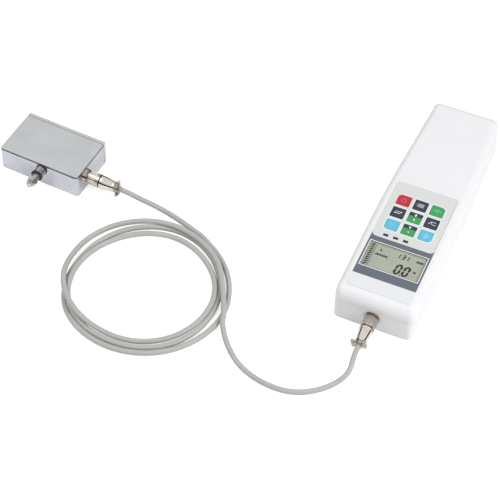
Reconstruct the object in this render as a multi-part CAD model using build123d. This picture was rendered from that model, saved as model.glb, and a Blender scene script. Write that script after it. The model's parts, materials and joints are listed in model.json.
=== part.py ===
from build123d import *
import math
import os

# Digital force gauge with an external load cell, in millimetres.
# +Z is up, +X is to the right of someone who reads the display, +Y is away from them.
# The origin is the centre of the display unit's underside, on the table.

# --- Driving dimensions: display unit casing ---
CASE_LENGTH = 230.0
CASE_WIDTH = 66.0
CASE_HEIGHT = 36.0
FAR_BASE_WIDTH = 62.0  # width across the base at the far end
FAR_TOP_WIDTH = 56.0  # width across the top at the far end
TAPER_START = -5.0  # the sides are parallel up to this Y and taper beyond it
NEAR_LEAN = 2.2  # the near face leans out by this much from base to top
FAR_LEAN = 1.6
LIP_OVERSHOOT = 0.6  # the near face meets the top this far beyond the length, before the roll
FAR_OVERSHOOT = 0.4
LIP_RADIUS = 9.5  # rolled lip between the top and the near face
FAR_RADIUS = 8.0
EDGE_RADIUS = 5.0  # long edges and upright corners
BASE_RADIUS = 1.5
WALL = 2.5
FRONT_COVER_DEPTH = 13.5  # from the top of the casing down to the parting line
TONGUE_HEIGHT = 1.5
TONGUE_THICKNESS = 1.0
SEAM_WIDTH = 0.4  # shadow groove round the outside of the parting line
SEAM_DEPTH = 0.4

# --- Driving dimensions: keypad and display ---
FILM_WIDTH = 52.0
FILM_TOP = 11.1  # Y of the keypad film's far edge
PANEL_BREAK = -52.2  # Y where the keypad film meets the display bezel
BEZEL_END = -93.8
LABEL_END = -107.3
FILM_CORNER = 4.0
FILM_THICKNESS = 0.5
FILM_RECESS = 0.3
KEY_SIZE = 10.9
KEY_PITCH = 14.2
KEY_ROW_Y = -22.2  # Y of the middle row
KEY_CORNER = 3.2  # the one rounded corner of each corner key
KEY_SMALL_CORNER = 0.5
KEY_PROUD = 0.5  # key tops stand this far above the film
KEY_EDGE = 0.35
KEY_SKIRT = 1.1  # the retaining skirt is this much wider than the key, each side
KEY_SKIRT_THICKNESS = 0.9
KEY_STEM_DIAMETER = 4.0
KEY_TRAVEL = 0.5
STATUS_WIDTH = 4.1
STATUS_LENGTH = 2.3
STATUS_Y = -48.4
STATUS_FIRST_X = -15.1
STATUS_PITCH = 8.3
STATUS_COUNT = 3
STATUS_LEDGE = 0.3  # the cover's ledge under the rim of each status window
LAMP_WIDTH = 2.0
LAMP_LENGTH = 1.2
LAMP_HEIGHT = 1.1
LCD_WIDTH = 48.0
LCD_LENGTH = 26.8
LCD_Y = -71.1
WINDOW_THICKNESS = 1.0
WINDOW_LEDGE = 0.8  # the cover's ledge under the rim of the display window
MODULE_THICKNESS = 4.6
MODULE_MARGIN_X = 2.0  # the module is this much wider than the window, each side
MODULE_MARGIN_Y = 2.5
MODULE_FOOT_DIAMETER = 2.0

# --- Driving dimensions: inside the display unit ---
BOARD_WIDTH = 54.0
BOARD_MARGIN = 18.9  # from the display's middle to the board's near edge
BOARD_GAP = 7.5  # between the board's far edge and the battery cells
BOARD_THICKNESS = 1.6
BOARD_DEPTH = 8.4  # from the top of the casing down to the board
BOARD_CORNER = 2.0
POST_DIAMETER = 5.0
POST_INSET = 3.5  # from the board's side edge to a post's axis
POST_GAP = 0.7  # between the display module and the near posts
POST_FAR_INSET = 4.0
DOME_DIAMETER = 6.0
DOME_HEIGHT = 0.8
DOME_SLOPE = 0.5
BOSS_DIAMETER = 7.0
REAR_BOSS_DIAMETER = 8.5
BOSS_NEAR_Y = -99.0
BOSS_FAR_Y = 99.0
BOSS_NEAR_X = 23.0
BOSS_FAR_X = 19.5
SCREW_DIAMETER = 3.0
SCREW_HEAD_DIAMETER = 5.6
SCREW_HEAD_HEIGHT = 2.2
SCREW_REACH = 9.0  # how far a case screw reaches into its boss
HEAD_DEPTH = 4.0  # how deep its head sits below the underside
HEAD_ROUND = 0.6
SCREW_POINT = 1.0
RECESS_SPAN = 3.0  # cross recess in a screw head
RECESS_WIDTH = 0.8
RECESS_DEPTH = 1.2
CELL_ROOM = 1.3  # free height for each layer of cells
CELL_JOIN = 0.4  # neighbouring cells run this far into their common sleeve
CELL_LENGTH = 49.0
CELL_COLUMNS = 3
CELL_ROWS = 2
BATTERY_INSET = 53.0  # from the casing's far end to the middle of the cells
RIB_THICKNESS = 1.6  # ribs that hold the battery pack at its ends
RIB_HEIGHT = 7.0
RIB_REACH = 18.0
BUZZER_DIAMETER = 12.0
BUZZER_HEIGHT = 4.5
BUZZER_X = 17.0
BUZZER_INSET = 10.0  # from the board's far edge to the buzzer's axis
BUZZER_HOLE = 2.0
BUZZER_BACK = 2.0
INSERT_DIAMETER = 7.0
INSERT_BORE_DIAMETER = 4.2  # core of an M5 thread
INSERT_LENGTH = 8.0
INSERT_SPACING_X = 30.0
INSERT_SPACING_Y = 60.0
INSERT_CENTRE_Y = -10.0
INSERT_BOSS_WALL = 1.6
CHARGE_BORE = 5.6
CHARGE_DEPTH = 9.0
CHARGE_Y = -16.0
DATA_BORE = 3.6
DATA_DEPTH = 13.0
DATA_Y = 0.0
SIDE_SOCKET_HEIGHT = 11.0
SIDE_SOCKET_WALL = 1.6
SIDE_SOCKET_FLANGE = 1.4
SIDE_SOCKET_RIM = 1.5  # the flange is this much wider than the barrel, each side
SIDE_SOCKET_BACK = 2.0
SIDE_SPOT_DEPTH = 0.6  # flat seat round a side socket's mouth
SIDE_SPOT_RIM = 1.0

# --- Driving dimensions: round connectors, the same at both ends of the cable ---
CONNECTOR_HEIGHT = 15.0  # axis above the table at the display unit
SPOT_DEPTH = 1.4  # flat seat for the connector on the near face
SPOT_WALL = 2.6
SPOT_MARGIN = 0.8
PAD_MARGIN = 1.0
BARREL_DIAMETER = 9.0
BARREL_LENGTH = 8.5
BARREL_BORE = 7.0
SOCKET_FLOOR = 0.5  # floor of the barrel, in front of the panel
SOCKET_FLANGE_DIAMETER = 13.0
SOCKET_FLANGE = 1.5
SOCKET_TAIL = 6.0
PIN_SETBACK = 1.5  # the pins end this far inside the barrel
PIN_TAIL = 2.5
PIN_DIAMETER = 1.0
PIN_CIRCLE = 3.6
PIN_COUNT = 4
PANEL_NUT_DIAMETER = 12.6
PANEL_NUT_THICKNESS = 2.0
PANEL_NUT_FLATS = 11.4
NUT_DIAMETER = 11.6
NUT_LENGTH = 10.2
NUT_STANDOFF = 0.5  # between the panel nut and the coupling nut
NUT_SHOULDER = 3.0
NUT_EDGE = 0.4
NUT_GROOVES = 24
NUT_GROOVE_DIAMETER = 0.9
NUT_GROOVE_DEPTH = 0.3
NUT_PLAIN_START = 0.9  # plain bands in front of and behind the grooves
NUT_PLAIN_END = 2.6
BAND_DEPTH = 0.4  # turned band groove near the nut's rear end
BAND_SLOPE = 0.2
BAND_WIDTH = 0.6
BAND_PLACE = 1.2
NOSE_START = 1.3  # the plug's nose begins this far from the panel
NECK_DIAMETER = 8.0
RING_THICKNESS = 0.9
RING_INSET = 0.2
SHELL_STRAIGHT = 2.2
SHELL_LENGTH = 13.6
SHELL_EDGE = 0.3
SHELL_TAIL_DIAMETER = 9.2
SHELL_TAIL_LENGTH = 2.0
SHELL_TAIL_EDGE = 0.6
CABLE_DIAMETER = 4.4
CABLE_GRIP = 3.0  # the cable goes this deep into the plug's shell
CLAMP_LENGTH = 3.6
CLAMP_WIDTH = 12.8
CLAMP_WALL = 1.5
CLAMP_SPLIT = 0.6
CLAMP_ROOT = 1.0  # the plug's half of the clamp runs this far into its shell
EAR_THICKNESS = 2.3
EAR_CORNER = 1.2
CLAMP_SCREW_DIAMETER = 2.0
CLAMP_SCREW_TAIL = 1.2
CLAMP_HEAD_DIAMETER = 3.0
CLAMP_HEAD_HEIGHT = 1.6
CLAMP_SLOT_WIDTH = 0.5
CLAMP_SLOT_DEPTH = 0.6
DISPLAY_CLAMP_ROLL = 16.0
SENSOR_CLAMP_ROLL = 90.0

# --- Driving dimensions: external load cell ---
SENSOR_X = -304.7
SENSOR_Y = -59.3
SENSOR_ANGLE = -3.7
SENSOR_WIDTH = 73.5
SENSOR_DEPTH = 47.0
SENSOR_HEIGHT = 23.0
SENSOR_WALL = 3.0
SENSOR_CORNER = 3.0
SENSOR_EDGE = 0.5
TOP_PLATE = 1.6
REAR_PLATE = 3.3
GASKET = 0.4
GASKET_INSET = 0.25
SENSOR_SOCKET_Y = -8.0
CELL_BLOCK_WIDTH = 44.0
CELL_BLOCK_HEIGHT = 15.0
CELL_GAP = 0.4  # room for the stud's plunger to move before it meets the block
BEAM_HOLE_DIAMETER = 10.0
BEAM_HOLE_SPACING = 24.0
BEAM_SLOT = 4.0
BEAM_WALL = 4.5  # between the rear thread's end and the dumb-bell cut
BEAM_EDGE = 1.0
REAR_THREAD_DIAMETER = 4.2  # core of an M5 thread
REAR_THREAD_DEPTH = 11.0
PLATE_SCREW_DIAMETER = 3.0
PLATE_SCREW_HEAD = 5.6
PLATE_SCREW_INSET = 6.0
PLATE_SCREW_SINK = 2.0
PLATE_SCREW_LENGTH = 7.0
PLATE_SCREW_FIT = 0.15
PLATE_SLOT_WIDTH = 0.7
PLATE_SLOT_DEPTH = 0.8
SCREW_BLOCK = 8.0  # blocks in the housing's corners that take the plate screws
SCREW_BLOCK_REACH = 6.0
SCREW_BLOCK_LENGTH = 9.0
STUD_DIAMETER = 5.0
STUD_NECK_DIAMETER = 4.2  # core of the thread, which the nut engages
STUD_TIP_CHAMFER = 0.7
STUD_SLEEVE_DIAMETER = 6.8
STUD_SLEEVE_END = 9.0  # distance from the front face to the sleeve's shoulder
STUD_LENGTH = 17.2  # distance from the front face to the stud's tip
STUD_BOSS_DIAMETER = 9.4
STUD_BOSS_LENGTH = 3.3
STUD_BOSS_EDGE = 0.5
STUD_SEAL_DIAMETER = 10.2
STUD_SEAL_THICKNESS = 1.0
STUD_NUT_FLATS = 8.0
STUD_NUT_THICKNESS = 4.4
STUD_NUT_EDGE = 0.6
STUD_NUT_FIT = 0.05  # between the nut and the sleeve's shoulder
PLUNGER_DIAMETER = 11.0
PLUNGER_THICKNESS = 2.5
GUIDE_DIAMETER = 4.0
GUIDE_LENGTH = 7.0

# --- Driving dimensions: cable between the two units ---
COIL_X = -179.5
COIL_Y = -147.5
COIL_INNER_RADIUS = 51.0
COIL_OUTER_RADIUS = 71.5
COIL_LAYERS = 2
DISPLAY_LEAD = [
    (0.0, -153.0, 15.0),
    (0.3, -169.0, 9.6),
    (-12.0, -184.9, 4.2),
    (-33.0, -196.3, 2.4),
    (-57.5, -197.0, 2.3),
    (-79.5, -189.2, 2.7),
    (-96.0, -175.0, 4.2),
    (-105.6, -160.8, 6.2),
    (-109.8, -149.2, 6.9),
]
SENSOR_LEAD = [
    (-166.5, -80.4, 2.6),
    (-184.0, -74.9, 3.0),
    (-202.5, -72.2, 5.5),
    (-218.0, -72.4, 9.0),
    (-230.92, -72.09, 11.5),
]

# --- Clearances ---
SLIDE_FIT = 0.15  # between a key and its opening
SEAT = 0.1  # between parts that seat on each other without moving
TURN_FIT = 0.08  # radial, between a turning or sliding part and its bore
THREAD_FIT = 0.05  # radial, between a screw and its hole
HEAD_FIT = 0.3  # radial, round a screw head in its hole
SHANK_FIT = 0.2  # radial, round a screw in a clearance hole
REST_GAP = 0.6  # between a key's stem and the dome below it
SINK = 0.5  # how far a joined shape runs into the one that carries it
OVERRUN = 1.0  # how far a cutting shape runs past what it cuts

# --- Derived places ---
HALF_LENGTH = CASE_LENGTH / 2
FILM_TOP_Z = CASE_HEIGHT - FILM_RECESS + FILM_THICKNESS
KEY_TOP_Z = FILM_TOP_Z + KEY_PROUD
CEILING = CASE_HEIGHT - WALL
PARTING_HEIGHT = CASE_HEIGHT - FRONT_COVER_DEPTH
CELL_DIAMETER = (CEILING - WALL) / CELL_ROWS - CELL_ROOM
CELL_PITCH = CELL_DIAMETER - CELL_JOIN
BATTERY_Y = HALF_LENGTH - BATTERY_INSET
BOARD_TOP = CASE_HEIGHT - BOARD_DEPTH
BOARD_BASE = BOARD_TOP - BOARD_THICKNESS
BOARD_NEAR = LCD_Y - BOARD_MARGIN
BOARD_FAR = BATTERY_Y - CELL_LENGTH / 2 - BOARD_GAP
BUZZER_Y = BOARD_FAR - BUZZER_INSET
FILM_BASE = CASE_HEIGHT - FILM_RECESS
WINDOW_BASE = FILM_TOP_Z - WINDOW_THICKNESS
MODULE_TOP = CEILING - SEAT
SPOT_Y = -HALF_LENGTH + SPOT_DEPTH
SIDE_SPOT_X = -CASE_WIDTH / 2 + SIDE_SPOT_DEPTH
HEAD_SEAT = HEAD_DEPTH + SCREW_HEAD_HEIGHT
SENSOR_HALF_WIDTH = SENSOR_WIDTH / 2
SENSOR_FRONT = -SENSOR_DEPTH / 2
SENSOR_REAR = SENSOR_DEPTH / 2
PLATE_FRONT = SENSOR_REAR - REAR_PLATE
HOUSING_REAR = PLATE_FRONT - GASKET
HOUSING_TOP = SENSOR_HEIGHT - TOP_PLATE - GASKET
SENSOR_AXIS_Z = SENSOR_HEIGHT / 2
FOUR_CORNERS = [(sx, sy) for sx in (-1, 1) for sy in (-1, 1)]
NUT_START = PANEL_NUT_THICKNESS + NUT_STANDOFF
NUT_END = NUT_START + NUT_LENGTH
SHELL_START = NUT_END + RING_THICKNESS + SEAT
SHELL_END = SHELL_START + SHELL_LENGTH
CLAMP_END = SHELL_END + CLAMP_LENGTH
CABLE_START = SHELL_END - CABLE_GRIP


def tube(outer, inner, start, end):
    """A round tube, or a rod where inner is 0, along +X from start to end."""
    ring = Circle(outer / 2) - Circle(inner / 2) if inner else Circle(outer / 2)
    return extrude(Plane.YZ.offset(start) * ring, amount=end - start)


def upright(outer, inner, low, high, at=(0, 0)):
    """A round tube, or a rod where inner is 0, along +Z from low to high."""
    ring = Circle(outer / 2) - Circle(inner / 2) if inner else Circle(outer / 2)
    return Pos(at[0], at[1], 0) * extrude(Plane.XY.offset(low) * ring, amount=high - low)


def block(x, y, z):
    """A box given by its low and high limits along each axis."""
    size = [limits[1] - limits[0] for limits in (x, y, z)]
    centre = [sum(limits) / 2 for limits in (x, y, z)]
    return Pos(*centre) * Box(*size)


def one(shape):
    """The single solid of a shape."""
    return shape.solids()[0]


# --- Casing ---
def casing_section(y, base_width, top_width, inset):
    """The casing's cross-section at one Y, drawn in by inset and run past base and top."""
    spread = (base_width - top_width) / 2 / CASE_HEIGHT
    low, high = inset - OVERRUN, CASE_HEIGHT - inset + OVERRUN
    base = base_width / 2 - inset - spread * low
    top = base_width / 2 - inset - spread * high
    outline = Polyline((-base, low), (base, low), (top, high), (-top, high), close=True)
    return Plane.XZ.offset(-y) * make_face(outline)


def casing_side(inset):
    """The casing's outline seen from the side, with the rolled lip and far edge."""
    near, far = -HALF_LENGTH - LIP_OVERSHOOT, HALF_LENGTH + FAR_OVERSHOOT
    outline = make_face(
        Polyline(
            (near + NEAR_LEAN, 0), (near, CASE_HEIGHT), (far, CASE_HEIGHT), (far - FAR_LEAN, 0),
            close=True,
        )
    )
    upper = outline.vertices().filter_by(lambda v: v.Y > CASE_HEIGHT / 2)
    outline = fillet(upper.sort_by(Axis.X)[0], LIP_RADIUS)
    upper = outline.vertices().filter_by(lambda v: v.Y > CASE_HEIGHT - SINK)
    outline = fillet(upper.sort_by(Axis.X)[-1], FAR_RADIUS)
    return offset(outline, amount=-inset, kind=Kind.INTERSECTION) if inset else outline


def casing_body(inset=0.0):
    """The moulded form of the display unit, drawn in by inset on every side."""
    beyond = HALF_LENGTH + CASE_HEIGHT / 4
    middle = (HALF_LENGTH + TAPER_START) / 2
    middle_base, middle_top = (CASE_WIDTH + FAR_BASE_WIDTH) / 2, (CASE_WIDTH + FAR_TOP_WIDTH) / 2
    sections = [
        casing_section(-beyond, CASE_WIDTH, CASE_WIDTH, inset),
        casing_section(-HALF_LENGTH / 2, CASE_WIDTH, CASE_WIDTH, inset),
        casing_section(TAPER_START, CASE_WIDTH, CASE_WIDTH, inset),
        casing_section(middle, middle_base, middle_top, inset),
        casing_section(beyond, FAR_BASE_WIDTH, FAR_TOP_WIDTH, inset),
    ]
    body = loft(sections) & extrude(Plane.YZ * casing_side(inset), amount=CASE_WIDTH, both=True)
    side_x = FAR_TOP_WIDTH / 2 - inset - 2 * OVERRUN
    rim = [
        edge
        for edge in body.edges()
        if abs(edge.center().X) > side_x and edge.bounding_box().max.Z > inset + SINK
    ]
    body = fillet(rim, EDGE_RADIUS - inset)
    if inset:
        return one(body)
    low = [edge for edge in body.edges() if edge.bounding_box().max.Z < SINK]
    return one(fillet(low, BASE_RADIUS))


def slab(low, high):
    """A block wider than the casing between two heights."""
    return block((-CASE_LENGTH, CASE_LENGTH), (-CASE_LENGTH, CASE_LENGTH), (low, high))


BOSS_PLACES = [(-BOSS_NEAR_X, BOSS_NEAR_Y), (BOSS_NEAR_X, BOSS_NEAR_Y)]
BOSS_PLACES += [(-BOSS_FAR_X, BOSS_FAR_Y), (BOSS_FAR_X, BOSS_FAR_Y)]
INSERT_PLACES = [
    (sx * INSERT_SPACING_X / 2, INSERT_CENTRE_Y + sy * INSERT_SPACING_Y / 2)
    for sx, sy in FOUR_CORNERS
]
POST_X = BOARD_WIDTH / 2 - POST_INSET
POST_NEAR_Y = LCD_Y + LCD_LENGTH / 2 + MODULE_MARGIN_Y + POST_GAP + POST_DIAMETER / 2
BOARD_POSTS = [(side * POST_X, y) for side in (-1, 1) for y in (POST_NEAR_Y, BOARD_FAR - POST_FAR_INSET)]
KEY_GRID = [(column, row) for row in (1, 0, -1) for column in (-1, 0, 1)]
KEY_NAMES = [
    "key_power", "key_menu", "key_zero",
    "key_units", "key_up", "key_peak",
    "key_light", "key_down", "key_print",
]


def key_place(cell):
    """The centre of one key in the grid."""
    return cell[0] * KEY_PITCH, KEY_ROW_Y + cell[1] * KEY_PITCH


def key_outline(cell, grow):
    """A key's outline: the four corner keys have one rounded corner that faces outwards."""
    side = KEY_SIZE + 2 * grow
    outline = Rectangle(side, side)
    column, row = cell
    if column and row:
        outer = outline.vertices().filter_by(lambda v: v.X * column > 0 and v.Y * row > 0)
        outline = fillet(outer, KEY_CORNER + grow)
    square = outline.vertices().filter_by(
        lambda v: min(abs(v.X), abs(v.Y)) > side / 2 - KEY_SMALL_CORNER
    )
    return fillet(square, KEY_SMALL_CORNER + grow)


def key_solid(cell):
    """A key: a cap with rounded edges, a retaining skirt under the cover and a stem."""
    skirt_top = CEILING - SEAT
    cap = extrude(Plane.XY.offset(skirt_top) * key_outline(cell, 0), amount=KEY_TOP_Z - skirt_top)
    cap = fillet(cap.faces().sort_by(Axis.Z)[-1].edges(), KEY_EDGE)
    skirt_base = Plane.XY.offset(skirt_top - KEY_SKIRT_THICKNESS)
    skirt = extrude(skirt_base * key_outline(cell, KEY_SKIRT), amount=KEY_SKIRT_THICKNESS)
    stem = upright(KEY_STEM_DIAMETER, 0, BOARD_TOP + DOME_HEIGHT + REST_GAP, skirt_top)
    return one(Pos(*key_place(cell), 0) * (cap + skirt + stem))


def film_outline(near, far, near_corner, far_corner):
    """A film's outline between two Y limits, with its own corner radius at each end."""
    outline = Pos(0, (near + far) / 2) * Rectangle(FILM_WIDTH, far - near)
    if far_corner:
        outline = fillet(outline.vertices().sort_by(Axis.Y)[-2:], far_corner)
    if near_corner:
        outline = fillet(outline.vertices().sort_by(Axis.Y)[:2], near_corner)
    return outline


def status_places():
    """The centres of the small status windows above the display."""
    return [(STATUS_FIRST_X + n * STATUS_PITCH, STATUS_Y) for n in range(STATUS_COUNT)]


def key_openings(grow):
    """All nine key openings as one sketch."""
    return Sketch() + [Pos(*key_place(cell)) * key_outline(cell, grow) for cell in KEY_GRID]


def status_openings(grow):
    """The status window openings as one sketch."""
    size = (STATUS_WIDTH + 2 * grow, STATUS_LENGTH + 2 * grow)
    return Sketch() + [Pos(x, y) * Rectangle(*size) for x, y in status_places()]


def display_opening(grow):
    """The display window's outline."""
    return Pos(0, LCD_Y) * Rectangle(LCD_WIDTH + 2 * grow, LCD_LENGTH + 2 * grow)


def front_cover(shell):
    """Upper half of the casing: film recess, key and display openings, bosses and posts."""
    cover = shell & slab(PARTING_HEIGHT, 2 * CASE_HEIGHT)
    tongue_room = casing_body(WALL - TONGUE_THICKNESS - SEAT) - casing_body(WALL)
    cover -= tongue_room & slab(PARTING_HEIGHT, PARTING_HEIGHT + TONGUE_HEIGHT + SEAT)
    seam = shell - casing_body(SEAM_DEPTH)
    cover -= seam & slab(PARTING_HEIGHT, PARTING_HEIGHT + SEAM_WIDTH)
    for place in BOSS_PLACES:
        cover += upright(BOSS_DIAMETER, 0, PARTING_HEIGHT + SEAT, CEILING + SINK, place)
    for place in BOARD_POSTS:
        cover += upright(POST_DIAMETER, 0, BOARD_TOP, CEILING + SINK, place)
    recess = film_outline(LABEL_END - SEAT, FILM_TOP + SEAT, 0, FILM_CORNER)
    cover -= extrude(Plane.XY.offset(FILM_BASE) * recess, amount=CASE_HEIGHT)
    through = key_openings(SLIDE_FIT) + status_openings(-STATUS_LEDGE)
    through += display_opening(-WINDOW_LEDGE)
    cover -= extrude(Plane.XY.offset(CEILING - OVERRUN) * through, amount=CASE_HEIGHT)
    window_seat = Plane.XY.offset(WINDOW_BASE) * display_opening(SEAT)
    cover -= extrude(window_seat, amount=CASE_HEIGHT)
    pilot = SCREW_DIAMETER + 2 * THREAD_FIT
    for place in BOSS_PLACES:
        low, high = PARTING_HEIGHT - OVERRUN, PARTING_HEIGHT + SCREW_REACH + OVERRUN
        cover -= upright(pilot, 0, low, high, place)
    return one(cover)


def rear_cover(shell):
    """Lower half: tongue, screw posts, insert bosses, battery ribs and connector seats."""
    cover = shell & slab(-CASE_HEIGHT, PARTING_HEIGHT)
    tongue = casing_body(WALL - TONGUE_THICKNESS) - casing_body(WALL)
    cover += tongue & slab(PARTING_HEIGHT - SINK, PARTING_HEIGHT + TONGUE_HEIGHT)
    for place in BOSS_PLACES:
        cover += upright(REAR_BOSS_DIAMETER, 0, WALL - SINK, PARTING_HEIGHT, place)
    boss = INSERT_DIAMETER + 2 * INSERT_BOSS_WALL
    for place in INSERT_PLACES:
        cover += upright(boss, 0, WALL - SINK, INSERT_LENGTH + INSERT_BOSS_WALL, place)
    for side in (-1, 1):
        face = BATTERY_Y + side * (CELL_LENGTH / 2 + SEAT)
        ends = sorted((face, face + side * RIB_THICKNESS))
        cover += block((-RIB_REACH, RIB_REACH), ends, (WALL - SINK, WALL + RIB_HEIGHT))
    axis = Pos(0, 0, CONNECTOR_HEIGHT) * Rot(0, 0, 90)
    pad_end = SPOT_Y + SPOT_WALL
    pad = axis * tube(SOCKET_FLANGE_DIAMETER + 2 * PAD_MARGIN, 0, SPOT_Y, pad_end)
    cover += pad & casing_body(SINK)
    cover -= axis * tube(PANEL_NUT_DIAMETER + 2 * SPOT_MARGIN, 0, -CASE_LENGTH, SPOT_Y)
    cover -= axis * tube(BARREL_DIAMETER + 2 * SEAT, 0, -CASE_LENGTH, pad_end + OVERRUN)
    for y, bore in ((CHARGE_Y, CHARGE_BORE), (DATA_Y, DATA_BORE)):
        outer = bore + 2 * SIDE_SOCKET_WALL
        side_axis = Pos(0, y, SIDE_SOCKET_HEIGHT)
        cover -= side_axis * tube(outer + 2 * SEAT, 0, -CASE_WIDTH, SIDE_SPOT_X + WALL + OVERRUN)
        cover -= side_axis * tube(outer + 2 * SIDE_SPOT_RIM, 0, -CASE_WIDTH, SIDE_SPOT_X)
    for place in BOSS_PLACES:
        cover -= upright(SCREW_HEAD_DIAMETER + 2 * HEAD_FIT, 0, -OVERRUN, HEAD_SEAT, place)
        cover -= upright(SCREW_DIAMETER + 2 * SHANK_FIT, 0, -OVERRUN, PARTING_HEIGHT + OVERRUN, place)
    for place in INSERT_PLACES:
        cover -= upright(INSERT_DIAMETER + 2 * THREAD_FIT, 0, -OVERRUN, INSERT_LENGTH + SEAT, place)
    return one(cover)


def films():
    """The keypad film, the display bezel film and the plain label film below it."""
    base = Plane.XY.offset(FILM_BASE)
    keypad = film_outline(PANEL_BREAK + SEAT / 2, FILM_TOP, FILM_CORNER, FILM_CORNER)
    keypad -= key_openings(SLIDE_FIT) + status_openings(SEAT)
    bezel = film_outline(BEZEL_END + SEAT / 2, PANEL_BREAK + FILM_CORNER, 0, 0)
    bezel -= film_outline(PANEL_BREAK - SEAT / 2, FILM_TOP, FILM_CORNER, FILM_CORNER)
    bezel -= display_opening(SEAT)
    label = film_outline(LABEL_END, BEZEL_END - SEAT / 2, 0, 0)
    return {
        "keypad_overlay": one(extrude(base * keypad, amount=FILM_THICKNESS)),
        "display_bezel": one(extrude(base * bezel, amount=FILM_THICKNESS)),
        "label_strip": one(extrude(base * label, amount=FILM_THICKNESS)),
    }


def display_parts():
    """Window, display module with its raised glass, status windows and their lamps."""
    window = extrude(Plane.XY.offset(WINDOW_BASE) * display_opening(0), amount=WINDOW_THICKNESS)
    base = MODULE_TOP - MODULE_THICKNESS
    body = Rectangle(LCD_WIDTH + 2 * MODULE_MARGIN_X, LCD_LENGTH + 2 * MODULE_MARGIN_Y)
    module = extrude(Plane.XY.offset(base) * Pos(0, LCD_Y) * body, amount=MODULE_THICKNESS)
    glass = display_opening(-WINDOW_LEDGE - SEAT)
    module += extrude(Plane.XY.offset(base) * glass, amount=WINDOW_BASE - SEAT - base)
    for sx, sy in FOUR_CORNERS:
        foot_x = sx * (LCD_WIDTH - MODULE_FOOT_DIAMETER) / 2
        foot_y = LCD_Y + sy * (LCD_LENGTH - MODULE_FOOT_DIAMETER) / 2
        module += upright(MODULE_FOOT_DIAMETER, 0, BOARD_TOP, base + SINK, (foot_x, foot_y))
    pane = Pos(0, 0, FILM_BASE + FILM_THICKNESS / 2) * Box(STATUS_WIDTH, STATUS_LENGTH, FILM_THICKNESS)
    lamp = Pos(0, 0, BOARD_TOP + LAMP_HEIGHT / 2) * Box(LAMP_WIDTH, LAMP_LENGTH, LAMP_HEIGHT)
    return {
        "lcd_window": one(window),
        "lcd_module": one(module),
        "status_windows": Compound(children=[Pos(x, y, 0) * pane for x, y in status_places()]),
        "indicator_leds": Compound(children=[Pos(x, y, 0) * lamp for x, y in status_places()]),
    }


def case_screw():
    """A pan-head screw with a cross recess, seen from below, with its tip upwards."""
    tip = PARTING_HEIGHT + SCREW_REACH
    screw = upright(SCREW_HEAD_DIAMETER, 0, HEAD_DEPTH, HEAD_SEAT)
    screw = fillet(screw.faces().sort_by(Axis.Z)[0].edges(), HEAD_ROUND)
    screw += upright(SCREW_DIAMETER, 0, HEAD_SEAT - SINK, tip - SCREW_POINT)
    screw += Pos(0, 0, tip - SCREW_POINT / 2) * Cone(SCREW_DIAMETER / 2, SCREW_DIAMETER / 6, SCREW_POINT)
    recess = Pos(0, 0, HEAD_DEPTH + RECESS_DEPTH / 2)
    screw -= recess * Box(RECESS_SPAN, RECESS_WIDTH, RECESS_DEPTH)
    screw -= recess * Box(RECESS_WIDTH, RECESS_SPAN, RECESS_DEPTH)
    return one(screw)


def battery_pack():
    """Six round cells in two layers, in one sleeve."""
    cells = Sketch()
    for column in range(CELL_COLUMNS):
        for row in range(CELL_ROWS):
            x = (column - (CELL_COLUMNS - 1) / 2) * CELL_PITCH
            z = WALL + CELL_DIAMETER / 2 + row * CELL_PITCH
            cells += Pos(x, z) * Circle(CELL_DIAMETER / 2)
    return one(extrude(Plane.XZ.offset(-BATTERY_Y - CELL_LENGTH / 2) * cells, amount=CELL_LENGTH))


def inner_parts():
    """Circuit board, dome switches, buzzer, battery pack, inserts and case screws."""
    board = block((-BOARD_WIDTH / 2, BOARD_WIDTH / 2), (BOARD_NEAR, BOARD_FAR), (BOARD_BASE, BOARD_TOP))
    board = fillet(board.edges().filter_by(Axis.Z), BOARD_CORNER)
    domes = []
    for cell in KEY_GRID:
        dome = upright(DOME_DIAMETER, 0, BOARD_TOP, BOARD_TOP + DOME_HEIGHT, key_place(cell))
        domes.append(chamfer(dome.faces().sort_by(Axis.Z)[-1].edges(), DOME_SLOPE))
    place, low = (BUZZER_X, BUZZER_Y), BOARD_BASE - BUZZER_HEIGHT
    buzzer = upright(BUZZER_DIAMETER, 0, low, BOARD_BASE, place)
    buzzer -= upright(BUZZER_HOLE, 0, low - OVERRUN, BOARD_BASE - BUZZER_BACK, place)
    inserts = [
        upright(INSERT_DIAMETER, INSERT_BORE_DIAMETER, 0, INSERT_LENGTH, place)
        for place in INSERT_PLACES
    ]
    screws = [Pos(x, y, 0) * case_screw() for x, y in BOSS_PLACES]
    return {
        "main_board": one(board),
        "dome_switches": Compound(children=domes),
        "buzzer": one(buzzer),
        "battery_pack": battery_pack(),
        "mounting_inserts": Compound(children=inserts),
        "case_screws": Compound(children=screws),
    }


def side_socket(y, bore, depth):
    """A round socket in the left wall: a barrel through the wall and a flanged body inside."""
    outer = bore + 2 * SIDE_SOCKET_WALL
    inside = SIDE_SPOT_X + WALL + SEAT
    back = SIDE_SPOT_X + depth + SIDE_SOCKET_BACK
    half = outer / 2
    socket = tube(outer, 0, SIDE_SPOT_X, back)
    socket += tube(outer + 2 * SIDE_SOCKET_RIM, 0, inside, inside + SIDE_SOCKET_FLANGE)
    socket += block((inside + SINK, back), (-half, half), (-half, half))
    socket -= tube(bore, 0, SIDE_SPOT_X - OVERRUN, SIDE_SPOT_X + depth)
    return one(Pos(0, y, SIDE_SOCKET_HEIGHT) * socket)


# --- Round connectors ---
def pin_places():
    """The pins' places on their circle, in the connector's YZ plane."""
    for n in range(PIN_COUNT):
        angle = math.radians(45 + 360 * n / PIN_COUNT)
        yield Pos(0, PIN_CIRCLE / 2 * math.cos(angle), PIN_CIRCLE / 2 * math.sin(angle))


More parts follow.
